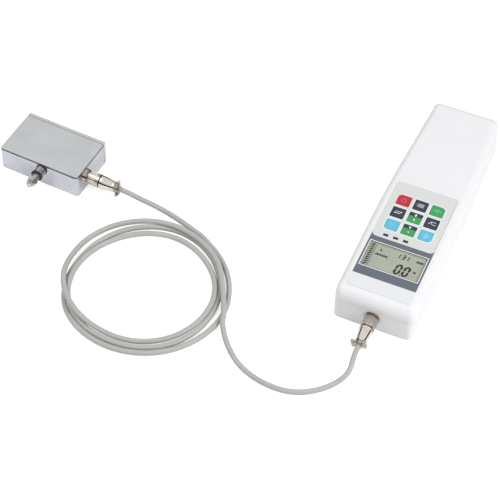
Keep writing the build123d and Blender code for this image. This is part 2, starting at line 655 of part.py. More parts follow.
def connector_socket(wall):
    """The panel socket: threaded barrel, flange behind the panel and the pins."""
    flange = -wall - SOCKET_FLANGE
    socket = tube(BARREL_DIAMETER, 0, -wall - SOCKET_TAIL, BARREL_LENGTH)
    socket += tube(SOCKET_FLANGE_DIAMETER, 0, flange, -wall)
    socket -= tube(BARREL_BORE, 0, SOCKET_FLOOR, BARREL_LENGTH + OVERRUN)
    for place in pin_places():
        start, end = -wall - SOCKET_TAIL - PIN_TAIL, BARREL_LENGTH - PIN_SETBACK
        socket += place * tube(PIN_DIAMETER, 0, start, end)
    return one(socket)


def panel_nut():
    """The round nut with two flats that holds the socket in its panel."""
    nut = tube(PANEL_NUT_DIAMETER, BARREL_DIAMETER + 2 * THREAD_FIT, 0, PANEL_NUT_THICKNESS)
    return one(nut & Box(3 * PANEL_NUT_THICKNESS, PANEL_NUT_FLATS, 2 * PANEL_NUT_DIAMETER))


def coupling_nut():
    """The grooved coupling nut that turns on the plug's neck and over the barrel."""
    bore = BARREL_DIAMETER / 2 + TURN_FIT
    neck = NECK_DIAMETER / 2 + TURN_FIT
    outer = NUT_DIAMETER / 2
    floor = outer - BAND_DEPTH
    step = NUT_END - NUT_SHOULDER
    band_end = NUT_END - BAND_PLACE
    band_start = band_end - BAND_WIDTH - 2 * BAND_SLOPE
    profile = Polyline(
        (NUT_START, bore), (NUT_START, outer - NUT_EDGE), (NUT_START + NUT_EDGE, outer),
        (band_start, outer), (band_start + BAND_SLOPE, floor), (band_end - BAND_SLOPE, floor),
        (band_end, outer), (NUT_END - NUT_EDGE, outer), (NUT_END, outer - NUT_EDGE),
        (NUT_END, neck), (step, neck), (step, bore),
        close=True,
    )
    nut = revolve(make_face(profile), Axis.X)
    lift = outer - NUT_GROOVE_DEPTH + NUT_GROOVE_DIAMETER / 2
    groove = Pos(0, 0, lift) * tube(
        NUT_GROOVE_DIAMETER, 0, NUT_START + NUT_PLAIN_START, NUT_END - NUT_PLAIN_END
    )
    return one(nut - [Rot(360 * n / NUT_GROOVES, 0, 0) * groove for n in range(NUT_GROOVES)])


def plug_body(roll):
    """The plug: pinned nose, neck, tapered shell and the lower half of the cable clamp."""
    nose = BARREL_BORE / 2 - SEAT
    nose_end = BARREL_LENGTH + SEAT
    neck = NECK_DIAMETER / 2
    collar = BARREL_DIAMETER / 2
    collar_end = NUT_END - NUT_SHOULDER - SEAT
    outer = NUT_DIAMETER / 2
    tail = SHELL_TAIL_DIAMETER / 2
    profile = Polyline(
        (NOSE_START, 0), (NOSE_START, nose), (nose_end, nose), (nose_end, collar),
        (collar_end, collar), (collar_end, neck), (SHELL_START, neck),
        (SHELL_START, outer - SHELL_EDGE), (SHELL_START + SHELL_EDGE, outer),
        (SHELL_START + SHELL_STRAIGHT, outer), (SHELL_END - SHELL_TAIL_LENGTH, tail),
        (SHELL_END - SHELL_TAIL_EDGE, tail), (SHELL_END, tail - SHELL_TAIL_EDGE), (SHELL_END, 0),
        close=True,
    )
    plug = revolve(make_face(profile), Axis.X)
    plug += Rot(roll + 180, 0, 0) * clamp_half(CLAMP_SCREW_DIAMETER + 2 * THREAD_FIT, CLAMP_ROOT)
    plug -= tube(CABLE_DIAMETER + 2 * SEAT, 0, CABLE_START, CLAMP_END + OVERRUN)
    for place in pin_places():
        plug -= place * tube(PIN_DIAMETER + 2 * SEAT, 0, 0, BARREL_LENGTH - OVERRUN)
    return one(plug)


def clamp_half(hole, root=0.0):
    """The half of the cable clamp on the +Z side, with an ear and a hole on each side."""
    inner = CABLE_DIAMETER + 2 * SEAT
    face = SHELL_END + SEAT
    start = face - root
    half = tube(inner + 2 * CLAMP_WALL, 0, start, CLAMP_END)
    ears = block((face, CLAMP_END), (-CLAMP_WIDTH / 2, CLAMP_WIDTH / 2), (0, EAR_THICKNESS))
    half += fillet(ears.edges().filter_by(Axis.Z), EAR_CORNER)
    half -= tube(inner, 0, start - OVERRUN, CLAMP_END + OVERRUN)
    half &= block((start, CLAMP_END), (-CLAMP_WIDTH, CLAMP_WIDTH), (CLAMP_SPLIT / 2, CLAMP_WIDTH))
    for side in (-1, 1):
        half -= clamp_screw_place(side) * upright(hole, 0, -OVERRUN, EAR_THICKNESS + OVERRUN)
    return half


def clamp_screw_place(side):
    """The axis of one clamp screw, in the middle of its ear."""
    inner = CABLE_DIAMETER / 2 + SEAT + CLAMP_WALL
    return Pos((SHELL_END + CLAMP_END) / 2, side * (CLAMP_WIDTH / 2 + inner) / 2, 0)


def clamp_screws():
    """The two cheese-head screws that draw the cable clamp together."""
    top = EAR_THICKNESS + CLAMP_HEAD_HEIGHT
    screw = upright(CLAMP_HEAD_DIAMETER, 0, EAR_THICKNESS, top)
    screw -= Pos(0, 0, top) * Box(2 * CLAMP_HEAD_DIAMETER, CLAMP_SLOT_WIDTH, 2 * CLAMP_SLOT_DEPTH)
    screw += upright(CLAMP_SCREW_DIAMETER, 0, -EAR_THICKNESS - CLAMP_SCREW_TAIL, EAR_THICKNESS + SINK)
    return [clamp_screw_place(side) * one(screw) for side in (-1, 1)]


def connector(prefix, place, wall, roll):
    """All pieces of one connector, placed with its axis along the place's +X."""
    outer, inner = NUT_DIAMETER - 2 * RING_INSET, NECK_DIAMETER + 2 * SEAT
    ring = tube(outer, inner, NUT_END + SEAT, NUT_END + RING_THICKNESS)
    turned = place * Rot(roll, 0, 0)
    saddle = one(clamp_half(CLAMP_SCREW_DIAMETER + 2 * SEAT))
    return {
        f"{prefix}_socket": place * connector_socket(wall),
        f"{prefix}_panel_nut": place * panel_nut(),
        f"{prefix}_coupling_nut": place * coupling_nut(),
        f"{prefix}_plug": place * plug_body(roll),
        f"{prefix}_seal_ring": place * ring,
        f"{prefix}_cable_clamp": turned * saddle,
        f"{prefix}_clamp_screws": Compound(children=[turned * screw for screw in clamp_screws()]),
    }


# --- External load cell, built square to its own axes and then placed ---
def plate_screw_places():
    """The four screws through the rear plate."""
    for sx, sz in FOUR_CORNERS:
        x = sx * (SENSOR_HALF_WIDTH - PLATE_SCREW_INSET)
        yield x, SENSOR_AXIS_Z + sz * (SENSOR_AXIS_Z - PLATE_SCREW_INSET)


def along_y(outer, inner, start, end, x=0.0, z=None):
    """A round tube or rod along +Y from start to end, on the load cell's axis height."""
    height = SENSOR_AXIS_Z if z is None else z
    return Pos(x, 0, height) * Rot(0, 0, 90) * tube(outer, inner, start, end)


def sensor_housing():
    """A thick-walled tray, open at the top and rear, with blocks for the plate's screws."""
    width = SENSOR_HALF_WIDTH
    shell = block((-width, width), (SENSOR_FRONT, HOUSING_REAR), (0, HOUSING_TOP))
    front = shell.edges().filter_by(Axis.Z).sort_by(Axis.Y)[:2]
    shell = fillet(front, SENSOR_CORNER)
    shell = fillet(shell.faces().sort_by(Axis.Z)[0].edges(), SENSOR_EDGE)
    inner = width - SENSOR_WALL
    depth = (SENSOR_FRONT + SENSOR_WALL, HOUSING_REAR + OVERRUN)
    shell -= block((-inner, inner), depth, (SENSOR_WALL, HOUSING_TOP + OVERRUN))
    for sx, sz in FOUR_CORNERS:
        reach = sorted((sx * (inner + SINK), sx * (inner - SCREW_BLOCK_REACH)))
        low = SENSOR_WALL - SINK if sz < 0 else HOUSING_TOP - SCREW_BLOCK
        rise = (low, low + SCREW_BLOCK + (SINK if sz < 0 else 0))
        shell += block(reach, (HOUSING_REAR - SCREW_BLOCK_LENGTH, HOUSING_REAR), rise)
    thread = PLATE_SCREW_DIAMETER + 2 * THREAD_FIT
    for x, z in plate_screw_places():
        shell -= along_y(thread, 0, HOUSING_REAR - PLATE_SCREW_LENGTH, HOUSING_REAR + OVERRUN, x, z)
    sleeve = STUD_SLEEVE_DIAMETER + 2 * TURN_FIT
    shell -= along_y(sleeve, 0, SENSOR_FRONT - OVERRUN, SENSOR_FRONT + SENSOR_WALL + OVERRUN)
    socket_hole = tube(BARREL_DIAMETER + 2 * SEAT, 0, inner - OVERRUN, width + OVERRUN)
    shell -= Pos(0, SENSOR_SOCKET_Y, SENSOR_AXIS_Z) * socket_hole
    return one(shell)


def top_plate_outline(inset):
    """The top plate's outline: rounded at the front corners, square at the rear plate."""
    near, far = SENSOR_FRONT + inset, HOUSING_REAR
    outline = Pos(0, (near + far) / 2) * Rectangle(2 * (SENSOR_HALF_WIDTH - inset), far - near)
    return fillet(outline.vertices().sort_by(Axis.Y)[:2], SENSOR_CORNER - inset)


def sensor_plates():
    """The top and rear plates, the thin gaskets under them and the rear plate's screws."""
    inner = SENSOR_HALF_WIDTH - SENSOR_WALL
    near, far = SENSOR_FRONT + SENSOR_WALL, HOUSING_REAR - SENSOR_WALL / 2
    opening = Pos(0, (near + far) / 2) * Rectangle(2 * inner, far - near)
    top_gasket = extrude(
        Plane.XY.offset(HOUSING_TOP) * (top_plate_outline(GASKET_INSET) - opening), amount=GASKET
    )
    top_plate = extrude(
        Plane.XY.offset(HOUSING_TOP + GASKET) * top_plate_outline(0), amount=TOP_PLATE
    )
    centre = Pos(0, SENSOR_AXIS_Z)
    face = centre * Rectangle(SENSOR_WIDTH, SENSOR_HEIGHT)
    rear_plate = extrude(Plane.XZ.offset(-SENSOR_REAR) * face, amount=REAR_PLATE)
    rear_plate = fillet(rear_plate.faces().sort_by(Axis.Y)[-1].edges(), SENSOR_EDGE)
    frame = Rectangle(SENSOR_WIDTH - 2 * GASKET_INSET, SENSOR_HEIGHT - 2 * GASKET_INSET)
    frame -= Rectangle(2 * inner, SENSOR_HEIGHT - 2 * SENSOR_WALL)
    rear_gasket = extrude(Plane.XZ.offset(-PLATE_FRONT) * centre * frame, amount=GASKET)
    seat = SENSOR_REAR - PLATE_SCREW_SINK
    head_end = SENSOR_REAR - PLATE_SCREW_FIT
    tip = HOUSING_REAR - PLATE_SCREW_LENGTH + SINK
    screws = []
    for x, z in plate_screw_places():
        hole = PLATE_SCREW_DIAMETER + 2 * PLATE_SCREW_FIT
        sink = PLATE_SCREW_HEAD + 2 * PLATE_SCREW_FIT
        through = along_y(hole, 0, HOUSING_REAR - OVERRUN, SENSOR_REAR + OVERRUN, x, z)
        rear_gasket -= through
        rear_plate -= through + along_y(sink, 0, seat, SENSOR_REAR + OVERRUN, x, z)
        screw = along_y(PLATE_SCREW_DIAMETER, 0, tip, seat + SINK, x, z)
        screw += along_y(PLATE_SCREW_HEAD, 0, seat, head_end, x, z)
        slot = Box(2 * PLATE_SCREW_HEAD, 2 * PLATE_SLOT_DEPTH, PLATE_SLOT_WIDTH)
        screws.append(one(screw - Pos(x, head_end, z) * slot))
    rear_plate -= along_y(REAR_THREAD_DIAMETER, 0, PLATE_FRONT - OVERRUN, SENSOR_REAR + OVERRUN)
    return {
        "sensor_top_gasket": one(top_gasket),
        "sensor_top_plate": one(top_plate),
        "sensor_rear_gasket": one(rear_gasket),
        "sensor_rear_plate": one(rear_plate),
        "rear_plate_screws": Compound(children=screws),
    }


def load_cell():
    """The bending beam inside: a block with a dumb-bell cut, fixed to the rear plate."""
    front = SENSOR_FRONT + SENSOR_WALL + PLUNGER_THICKNESS + 2 * CELL_GAP
    half = CELL_BLOCK_WIDTH / 2
    low = SENSOR_AXIS_Z - CELL_BLOCK_HEIGHT / 2
    beam = block((-half, half), (front, PLATE_FRONT), (low, low + CELL_BLOCK_HEIGHT))
    beam = chamfer(beam.edges().filter_by(Axis.Z), BEAM_EDGE)
    thread_end = SENSOR_REAR - REAR_THREAD_DEPTH
    cut_y = thread_end - BEAM_WALL - BEAM_HOLE_DIAMETER / 2 + REAR_PLATE
    holes = [Pos(side * BEAM_HOLE_SPACING / 2, cut_y) * Circle(BEAM_HOLE_DIAMETER / 2) for side in (-1, 1)]
    cut = Sketch() + holes + [Pos(0, cut_y) * Rectangle(BEAM_HOLE_SPACING, BEAM_SLOT)]
    beam -= extrude(Plane.XY.offset(low - OVERRUN) * cut, amount=CELL_BLOCK_HEIGHT + 2 * OVERRUN)
    guide = GUIDE_DIAMETER + 2 * TURN_FIT
    beam -= along_y(guide, 0, front - OVERRUN, front + GUIDE_LENGTH + 2 * CELL_GAP)
    beam -= along_y(REAR_THREAD_DIAMETER, 0, thread_end, PLATE_FRONT + OVERRUN)
    return one(beam)


def stud_parts():
    """The measuring stud, its boss and seal on the housing, and the nut on its thread."""
    shoulder = SENSOR_FRONT - STUD_SLEEVE_END
    nut_start = shoulder - STUD_NUT_FIT - STUD_NUT_THICKNESS
    tip = SENSOR_FRONT - STUD_LENGTH
    inside = SENSOR_FRONT + SENSOR_WALL + CELL_GAP
    plunger_end = inside + PLUNGER_THICKNESS
    stud = along_y(STUD_DIAMETER, 0, tip, nut_start - SEAT)
    stud = chamfer(stud.faces().sort_by(Axis.Y)[0].edges(), STUD_TIP_CHAMFER)
    stud += along_y(STUD_NECK_DIAMETER, 0, nut_start - SEAT - SINK, shoulder + SINK)
    stud += along_y(STUD_SLEEVE_DIAMETER, 0, shoulder, inside)
    stud += along_y(PLUNGER_DIAMETER, 0, inside, plunger_end)
    stud += along_y(GUIDE_DIAMETER, 0, plunger_end, plunger_end + GUIDE_LENGTH)
    bore = STUD_SLEEVE_DIAMETER + 2 * TURN_FIT
    boss_end = SENSOR_FRONT - STUD_BOSS_LENGTH
    boss = along_y(STUD_BOSS_DIAMETER, bore, boss_end, SENSOR_FRONT)
    boss = chamfer(boss.faces().sort_by(Axis.Y)[0].outer_wire().edges(), STUD_BOSS_EDGE)
    seal_end = boss_end - SEAT
    seal = along_y(STUD_SEAL_DIAMETER, bore, seal_end - STUD_SEAL_THICKNESS, seal_end)
    hexagon = Pos(0, SENSOR_AXIS_Z) * RegularPolygon(STUD_NUT_FLATS / 2, 6, major_radius=False)
    blank = extrude(Plane.XZ.offset(-nut_start - STUD_NUT_THICKNESS) * hexagon, amount=STUD_NUT_THICKNESS)
    corners = STUD_NUT_FLATS / math.cos(math.pi / 6)
    rounding = along_y(corners, 0, nut_start, nut_start + STUD_NUT_THICKNESS)
    rounding = chamfer(rounding.edges(), STUD_NUT_EDGE)
    nut = (blank & rounding) - along_y(STUD_NECK_DIAMETER + 2 * THREAD_FIT, 0, tip, shoulder)
    return {
        "measuring_stud": one(stud),
        "stud_boss": one(boss),
        "stud_seal": one(seal),
        "stud_nut": one(nut),
    }


# --- Cable ---
def cable_lead(points):
    """A tube along straight runs joined by arcs as large as the runs allow."""
    path = [Vector(*point) for point in points]
    runs = [(b - a) for a, b in zip(path, path[1:])]
    radii = []
    for run, following in zip(runs, runs[1:]):
        half_turn = math.radians(run.get_angle(following)) / 2
        radii.append(0.45 * min(run.length, following.length) / math.tan(half_turn))
    print("cable radii", [round(radius) for radius in radii])
    line = FilletPolyline(*path, radius=radii)
    lead = sweep(Plane(path[0], z_dir=runs[0]) * Circle(CABLE_DIAMETER / 2), path=line)
    expected = math.pi * CABLE_DIAMETER**2 / 4 * line.length
    print("cable length", round(line.length, 1), "volume ratio", round(lead.volume / expected, 4))
    return one(lead)


def cable_coil():
    """The outer form of the coil, lying on the table."""
    width = COIL_OUTER_RADIUS - COIL_INNER_RADIUS
    height = COIL_LAYERS * CABLE_DIAMETER + 2 * SEAT
    middle = (COIL_OUTER_RADIUS + COIL_INNER_RADIUS) / 2
    section = Pos(middle, height / 2) * RectangleRounded(width, height, CABLE_DIAMETER / 2)
    return one(Pos(COIL_X, COIL_Y, 0) * revolve(Plane.XZ * section, Axis.Z))


def build():
    """Every node of the force gauge by name."""
    shell = casing_body() - casing_body(WALL)
    nodes = {"front_cover": front_cover(shell), "rear_cover": rear_cover(shell)}
    nodes.update(films())
    nodes.update(display_parts())
    nodes.update(inner_parts())
    nodes.update({name: key_solid(cell) for name, cell in zip(KEY_NAMES, KEY_GRID)})
    nodes["charge_socket"] = side_socket(CHARGE_Y, CHARGE_BORE, CHARGE_DEPTH)
    nodes["data_socket"] = side_socket(DATA_Y, DATA_BORE, DATA_DEPTH)
    near_axis = Pos(0, SPOT_Y, CONNECTOR_HEIGHT) * Rot(0, 0, -90)
    nodes.update(connector("display", near_axis, SPOT_WALL, DISPLAY_CLAMP_ROLL))
    sensor = Pos(SENSOR_X, SENSOR_Y, 0) * Rot(0, 0, SENSOR_ANGLE)
    sensor_nodes = {"sensor_housing": sensor_housing(), "load_cell": load_cell()}
    sensor_nodes.update(sensor_plates())
    sensor_nodes.update(stud_parts())
    side_axis = Pos(SENSOR_HALF_WIDTH, SENSOR_SOCKET_Y, SENSOR_AXIS_Z)
    sensor_nodes.update(connector("sensor", side_axis, SENSOR_WALL, SENSOR_CLAMP_ROLL))
    nodes.update({name: sensor * solid for name, solid in sensor_nodes.items()})
    display_exit = (near_axis * Pos(CABLE_START + SEAT, 0, 0)).position
    sensor_exit = (sensor * side_axis * Pos(CABLE_START + SEAT, 0, 0)).position
    nodes["display_lead"] = cable_lead([tuple(display_exit)] + DISPLAY_LEAD)
    nodes["cable_coil"] = cable_coil()
    nodes["sensor_lead"] = cable_lead(SENSOR_LEAD + [tuple(sensor_exit)])
    return nodes


def main():
    """Write one STEP file for each node."""
    os.makedirs("parts", exist_ok=True)
    nodes = build()
    for name, solid in nodes.items():
        solid.label = name
        export_step(solid, f"parts/{name}.step")
    print(len(nodes), "nodes written")


main()
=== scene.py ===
"""Looks of a hand-held force gauge with a cabled load cell, dressed over its CAD frame.

Lengths are written in millimetres and turned into metres by MM where they meet a mesh.
The frame has +Z up, +X to the right of the reader and +Y away from them.
"""

import json
import logging
import math
from collections.abc import Callable, Iterable
from dataclasses import dataclass
from enum import Enum
from functools import cache
from itertools import product
from typing import ClassVar

import bmesh
import bpy
import numpy as np
from mathutils import Matrix, Vector

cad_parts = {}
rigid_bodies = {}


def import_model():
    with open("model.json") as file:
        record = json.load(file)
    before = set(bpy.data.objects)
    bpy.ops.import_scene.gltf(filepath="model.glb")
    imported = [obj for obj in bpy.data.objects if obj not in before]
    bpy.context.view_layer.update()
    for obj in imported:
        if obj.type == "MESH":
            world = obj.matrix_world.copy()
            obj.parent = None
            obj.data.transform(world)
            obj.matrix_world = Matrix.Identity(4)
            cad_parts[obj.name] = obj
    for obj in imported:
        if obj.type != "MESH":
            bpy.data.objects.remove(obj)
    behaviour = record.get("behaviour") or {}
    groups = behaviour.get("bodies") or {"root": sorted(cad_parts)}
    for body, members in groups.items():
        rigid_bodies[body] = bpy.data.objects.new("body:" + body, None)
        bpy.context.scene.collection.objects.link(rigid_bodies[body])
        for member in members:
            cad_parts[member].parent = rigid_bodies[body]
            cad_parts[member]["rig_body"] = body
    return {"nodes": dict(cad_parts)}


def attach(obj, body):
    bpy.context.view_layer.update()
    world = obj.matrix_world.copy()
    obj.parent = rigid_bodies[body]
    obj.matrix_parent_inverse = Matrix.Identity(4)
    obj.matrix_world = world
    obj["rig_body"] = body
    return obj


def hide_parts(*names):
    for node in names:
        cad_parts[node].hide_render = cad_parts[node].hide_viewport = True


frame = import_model()

LOG = logging.getLogger("force_gauge")
INSTRUMENT = "instrument"  # the body of everything that doesn't move
MM = 0.001
SHARP_ANGLE = 32.0  # an edge that turns by more degrees than this is shaded sharp
WELD_GAP = 0.002  # CAD vertices nearer than this are the same vertex
SLIVER = 0.001  # faces thinner than this are dissolved
PRINT_SINK = 0.05  # depth of a printed mark's underside below its surface
PRINT_RELIEF = 0.012  # height of a printed mark's face above its surface
BAR_CORNER = 0.1  # corner radius of a printed bar
THIN_BAR_SHARE = 0.45  # the most that radius takes of a thin bar's width
CORNER_SIGNS = ((1, 1), (-1, 1), (-1, -1), (1, -1))

Colour = tuple[float, float, float]
Place = tuple[float, float]
Point = tuple[float, float, float]
Relief = Callable[[np.ndarray, np.ndarray], np.ndarray]
Stroke = tuple[Callable[..., None], Place, *tuple[float, ...]]


# --- Mesh work -----------------------------------------------------------------
def add_mesh(name: str, points: np.ndarray, faces: list[tuple[int, ...]],
             smooth: bool = False) -> bpy.types.Object:
    """Put points and faces into a new mesh object.

    Args:
        name: The object's name.
        points: Vertex places in millimetres, one row each.
        faces: Vertex numbers of each face, counter-clockwise seen from outside.
        smooth: Whether faces are shaded smooth.

    Returns:
        The new object, linked to the scene.
    """
    mesh = bpy.data.meshes.new(name)
    mesh.from_pydata((np.asarray(points, float) * MM).tolist(), [], faces)
    mesh.validate()
    mesh.polygons.foreach_set("use_smooth", np.full(len(mesh.polygons), smooth))
    mesh.update()
    thing = bpy.data.objects.new(name, mesh)
    bpy.context.scene.collection.objects.link(thing)
    return thing


def grid_faces(rows: int, columns: int, first: int = 0) -> list[tuple[int, ...]]:
    """Quads between successive closed rings of one vertex grid.

    Args:
        rows: Number of rings.
        columns: Number of vertices in each ring.
        first: Number of the grid's first vertex.

    Returns:
        The faces, each ring joined to the next and closed round its seam.
    """
    row, column = np.meshgrid(np.arange(rows - 1), np.arange(columns), indexing="ij")
    here = first + row * columns + column
    beside = first + row * columns + (column + 1) % columns
    quads = np.stack([here, beside, beside + columns, here + columns], axis=-1)
    return [tuple(quad) for quad in quads.reshape(-1, 4).tolist()]


def soften(thing: bpy.types.Object) -> None:
    """Shade a mesh smooth except over its sharp edges.

    Args:
        thing: The mesh object.
    """
    mesh = thing.data
    mesh.polygons.foreach_set("use_smooth", np.ones(len(mesh.polygons), bool))
    work = bmesh.new()
    work.from_mesh(mesh)
    limit = math.radians(SHARP_ANGLE)
    for edge in work.edges:
        edge.smooth = len(edge.link_faces) == 2 and edge.calc_face_angle(0.0) < limit
    work.to_mesh(mesh)
    work.free()
    weights = thing.modifiers.new("even_normals", "WEIGHTED_NORMAL")
    weights.keep_sharp = True


@dataclass(frozen=True)
class Axis:
    """A place and a direction that a turned piece is built along."""

    origin: Point
    direction: Point

    def place(self, local: np.ndarray) -> np.ndarray:
        """Turn local points into frame points.

        Args:
            local: Points as (along, side, up), one row each.

        Returns:
            The same points in the frame.
        """
        along = np.array(self.direction) / np.linalg.norm(self.direction)
        side = np.cross([0.0, 0.0, 1.0], along)
        side /= np.linalg.norm(side)
        return local @ np.stack([along, side, np.cross(along, side)]) + np.array(self.origin)


def thread_relief(pitch: float, depth: float, span: tuple[float, float]) -> Relief:
    """The relief of a screw thread: a cosine of along / pitch less one turn for each turn.

    Args:
        pitch: Distance between crests.
        depth: Depth of the grooves.
        span: The thread's limits along the axis; it runs out over half a pitch at both.

    Returns:
        A function of places along and turns round the axis that gives the depth there.
    """
    def relief(along: np.ndarray, turn: np.ndarray) -> np.ndarray:
        """Depth of the groove at each point.

        Args:
            along: Places along the axis.
            turn: Turns round it.

        Returns:
            The depth at each.
        """
        started = np.clip((along - span[0]) / (pitch / 2), 0, 1)
        unfinished = np.clip((span[1] - along) / (pitch / 2), 0, 1)
        wave = 0.5 - 0.5 * np.cos(2.0 * math.pi * along / pitch - turn)
        return started * unfinished * depth * wave
    return relief


def turned(name: str, axis: Axis, profile: np.ndarray, relief: Relief,
           columns: int = 64) -> bpy.types.Object:
    """A closed surface of revolution with a relief cut into it.

    A point at profile step i and turn t lies at (a_i, r cos t, r sin t), where r is the
    profile's radius r_i less the relief at (a_i, t).

    Args:
        name: The object's name.
        axis: Where the piece lies.
        profile: Outline as (along, radius), from one pole to the other.
        relief: Depth of the relief at each place along and turn round the axis.
        columns: Vertices round the axis.

    Returns:
        The new object.
    """
    rings = profile[1:-1]
    round_turn = np.linspace(0.0, 2.0 * math.pi, columns, endpoint=False)
    turn = np.tile(round_turn, (len(rings), 1))
    along = np.repeat(rings[:, :1], columns, axis=1)
    radius = np.repeat(rings[:, 1:], columns, axis=1) - relief(along, turn)
    local = np.stack([along, radius * np.cos(turn), radius * np.sin(turn)], axis=-1).reshape(-1, 3)
    poles = np.array([[profile[0, 0], 0.0, 0.0], [profile[-1, 0], 0.0, 0.0]])
    step = np.arange(columns)
    beside = (step + 1) % columns
    pole, last = len(local), (len(rings) - 1) * columns
    caps = np.vstack([np.column_stack([np.full(columns, pole), beside, step]),
                      np.column_stack([np.full(columns, pole + 1), last + step, last + beside])])
    faces = grid_faces(len(rings), columns) + [tuple(face) for face in caps.tolist()]
    thing = add_mesh(name, axis.place(np.vstack([local, poles])), faces, smooth=True)
    work = bmesh.new()
    work.from_mesh(thing.data)
    bmesh.ops.recalc_face_normals(work, faces=work.faces)
    work.to_mesh(thing.data)
    work.free()
    return thing


def rounded_outline(width: float, height: float, radii: tuple[float, ...],
                    steps: int = 8) -> np.ndarray:
    """A rectangle's outline with four rounded corners, counter-clockwise.

    Each corner is a quarter circle: centre + r (cos t, sin t) for t over its own quarter turn.

    Args:
        width: Size along X.
        height: Size along Y.
        radii: Corner radii from the upper right corner, counter-clockwise.
        steps: Points in each corner, less one.

    Returns:
        The outline's points, one row each.
    """
    quarter = 0.5 * math.pi
    corners = []
    for number, ((sx, sy), radius) in enumerate(zip(CORNER_SIGNS, radii)):
        turn = np.linspace(0.0, quarter, steps + 1) + number * quarter
        middle = np.array([sx * (width / 2 - radius), sy * (height / 2 - radius)])
        corners.append(middle + radius * np.stack([np.cos(turn), np.sin(turn)], axis=1))
    return np.vstack(corners)


def printed_frame(name: str, outline: np.ndarray, hole: np.ndarray, centre: Place,
                  surface: float) -> bpy.types.Object:
    """A thin flat frame printed on a surface, round a hole of as many points as its outline.

    Args:
        name: The object's name.
        outline: Outer points, counter-clockwise about the centre.
        hole: Inner points in the same order.
        centre: The frame's place in X and Y.
        surface: Z of the surface that it is printed on.

    Returns:
        The new object.
    """
    count = len(outline)
    low, high = surface - PRINT_SINK, surface + PRINT_RELIEF
    layers = [np.column_stack([flat + np.array(centre), np.full(count, z)])
              for flat, z in ((outline, low), (outline, high), (hole, high), (hole, low))]
    step = np.arange(count)
    beside = (step + 1) % count
    underside = np.stack([step + 3 * count, beside + 3 * count, beside, step], axis=1)
    faces = grid_faces(4, count) + [tuple(quad) for quad in underside.tolist()]
    return add_mesh(name, np.vstack(layers), faces)


def joined(name: str, pieces: list[bpy.types.Object]) -> bpy.types.Object:
    """Join several mesh objects at the origin into one.

    Args:
        name: The joined object's name.
        pieces: The mesh objects, which are used up.

    Returns:
        The joined object.
    """
    work = bmesh.new()
    for piece in pieces:
        work.from_mesh(piece.data)
        bpy.data.objects.remove(piece)
    mesh = bpy.data.meshes.new(name)
    work.to_mesh(mesh)
    work.free()
    thing = bpy.data.objects.new(name, mesh)
    bpy.context.scene.collection.objects.link(thing)
    return thing


# --- Finishes ------------------------------------------------------------------
class Wiring:
    """A shader node tree under construction."""

    def __init__(self, tree: bpy.types.NodeTree) -> None:
        """Work on a tree."""
        self.tree = tree

    def add(self, kind: str, **values: float | str | tuple[float, ...]) -> bpy.types.Node:
        """Add a node and set its properties, or its inputs where it has no such property.

        Args:
            kind: Blender's node type without its ShaderNode prefix.
            values: Property values, or input values under their capitalised names.

        Returns:
            The new node.
        """
        node = self.tree.nodes.new("ShaderNode" + kind)
        for name, value in values.items():
            if hasattr(node, name):
                setattr(node, name, value)
            else:
                node.inputs[name].default_value = value
        return node

    def link(self, source: bpy.types.NodeSocket, target: bpy.types.NodeSocket) -> None:
        """Join two sockets."""
        self.tree.links.new(source, target)

    def maths(self, operation: str, *terms: bpy.types.NodeSocket | float) -> bpy.types.NodeSocket:
        """The result of one operation on sockets and numbers.

        Args:
            operation: Blender's name of the operation.
            terms: What it works on, in order.

        Returns:
            The result's socket.
        """
        node = self.add("Math", operation=operation)
        for socket, term in zip(node.inputs, terms):
            if isinstance(term, bpy.types.NodeSocket):
                self.link(term, socket)
            else:
                socket.default_value = term
        return node.outputs["Value"]

    def shared(self, share: bpy.types.NodeSocket, first: bpy.types.NodeSocket,
               second: bpy.types.NodeSocket) -> bpy.types.NodeSocket:
        """A shader shared between two.

        Args:
            share: The second one's share, from 0 to 1.
            first: The first shader.
            second: The second shader.

        Returns:
            The shared shader.
        """
        node = self.add("MixShader")
        for source, socket in zip((share, first, second), node.inputs):
            self.link(source, socket)
        return node.outputs["Shader"]


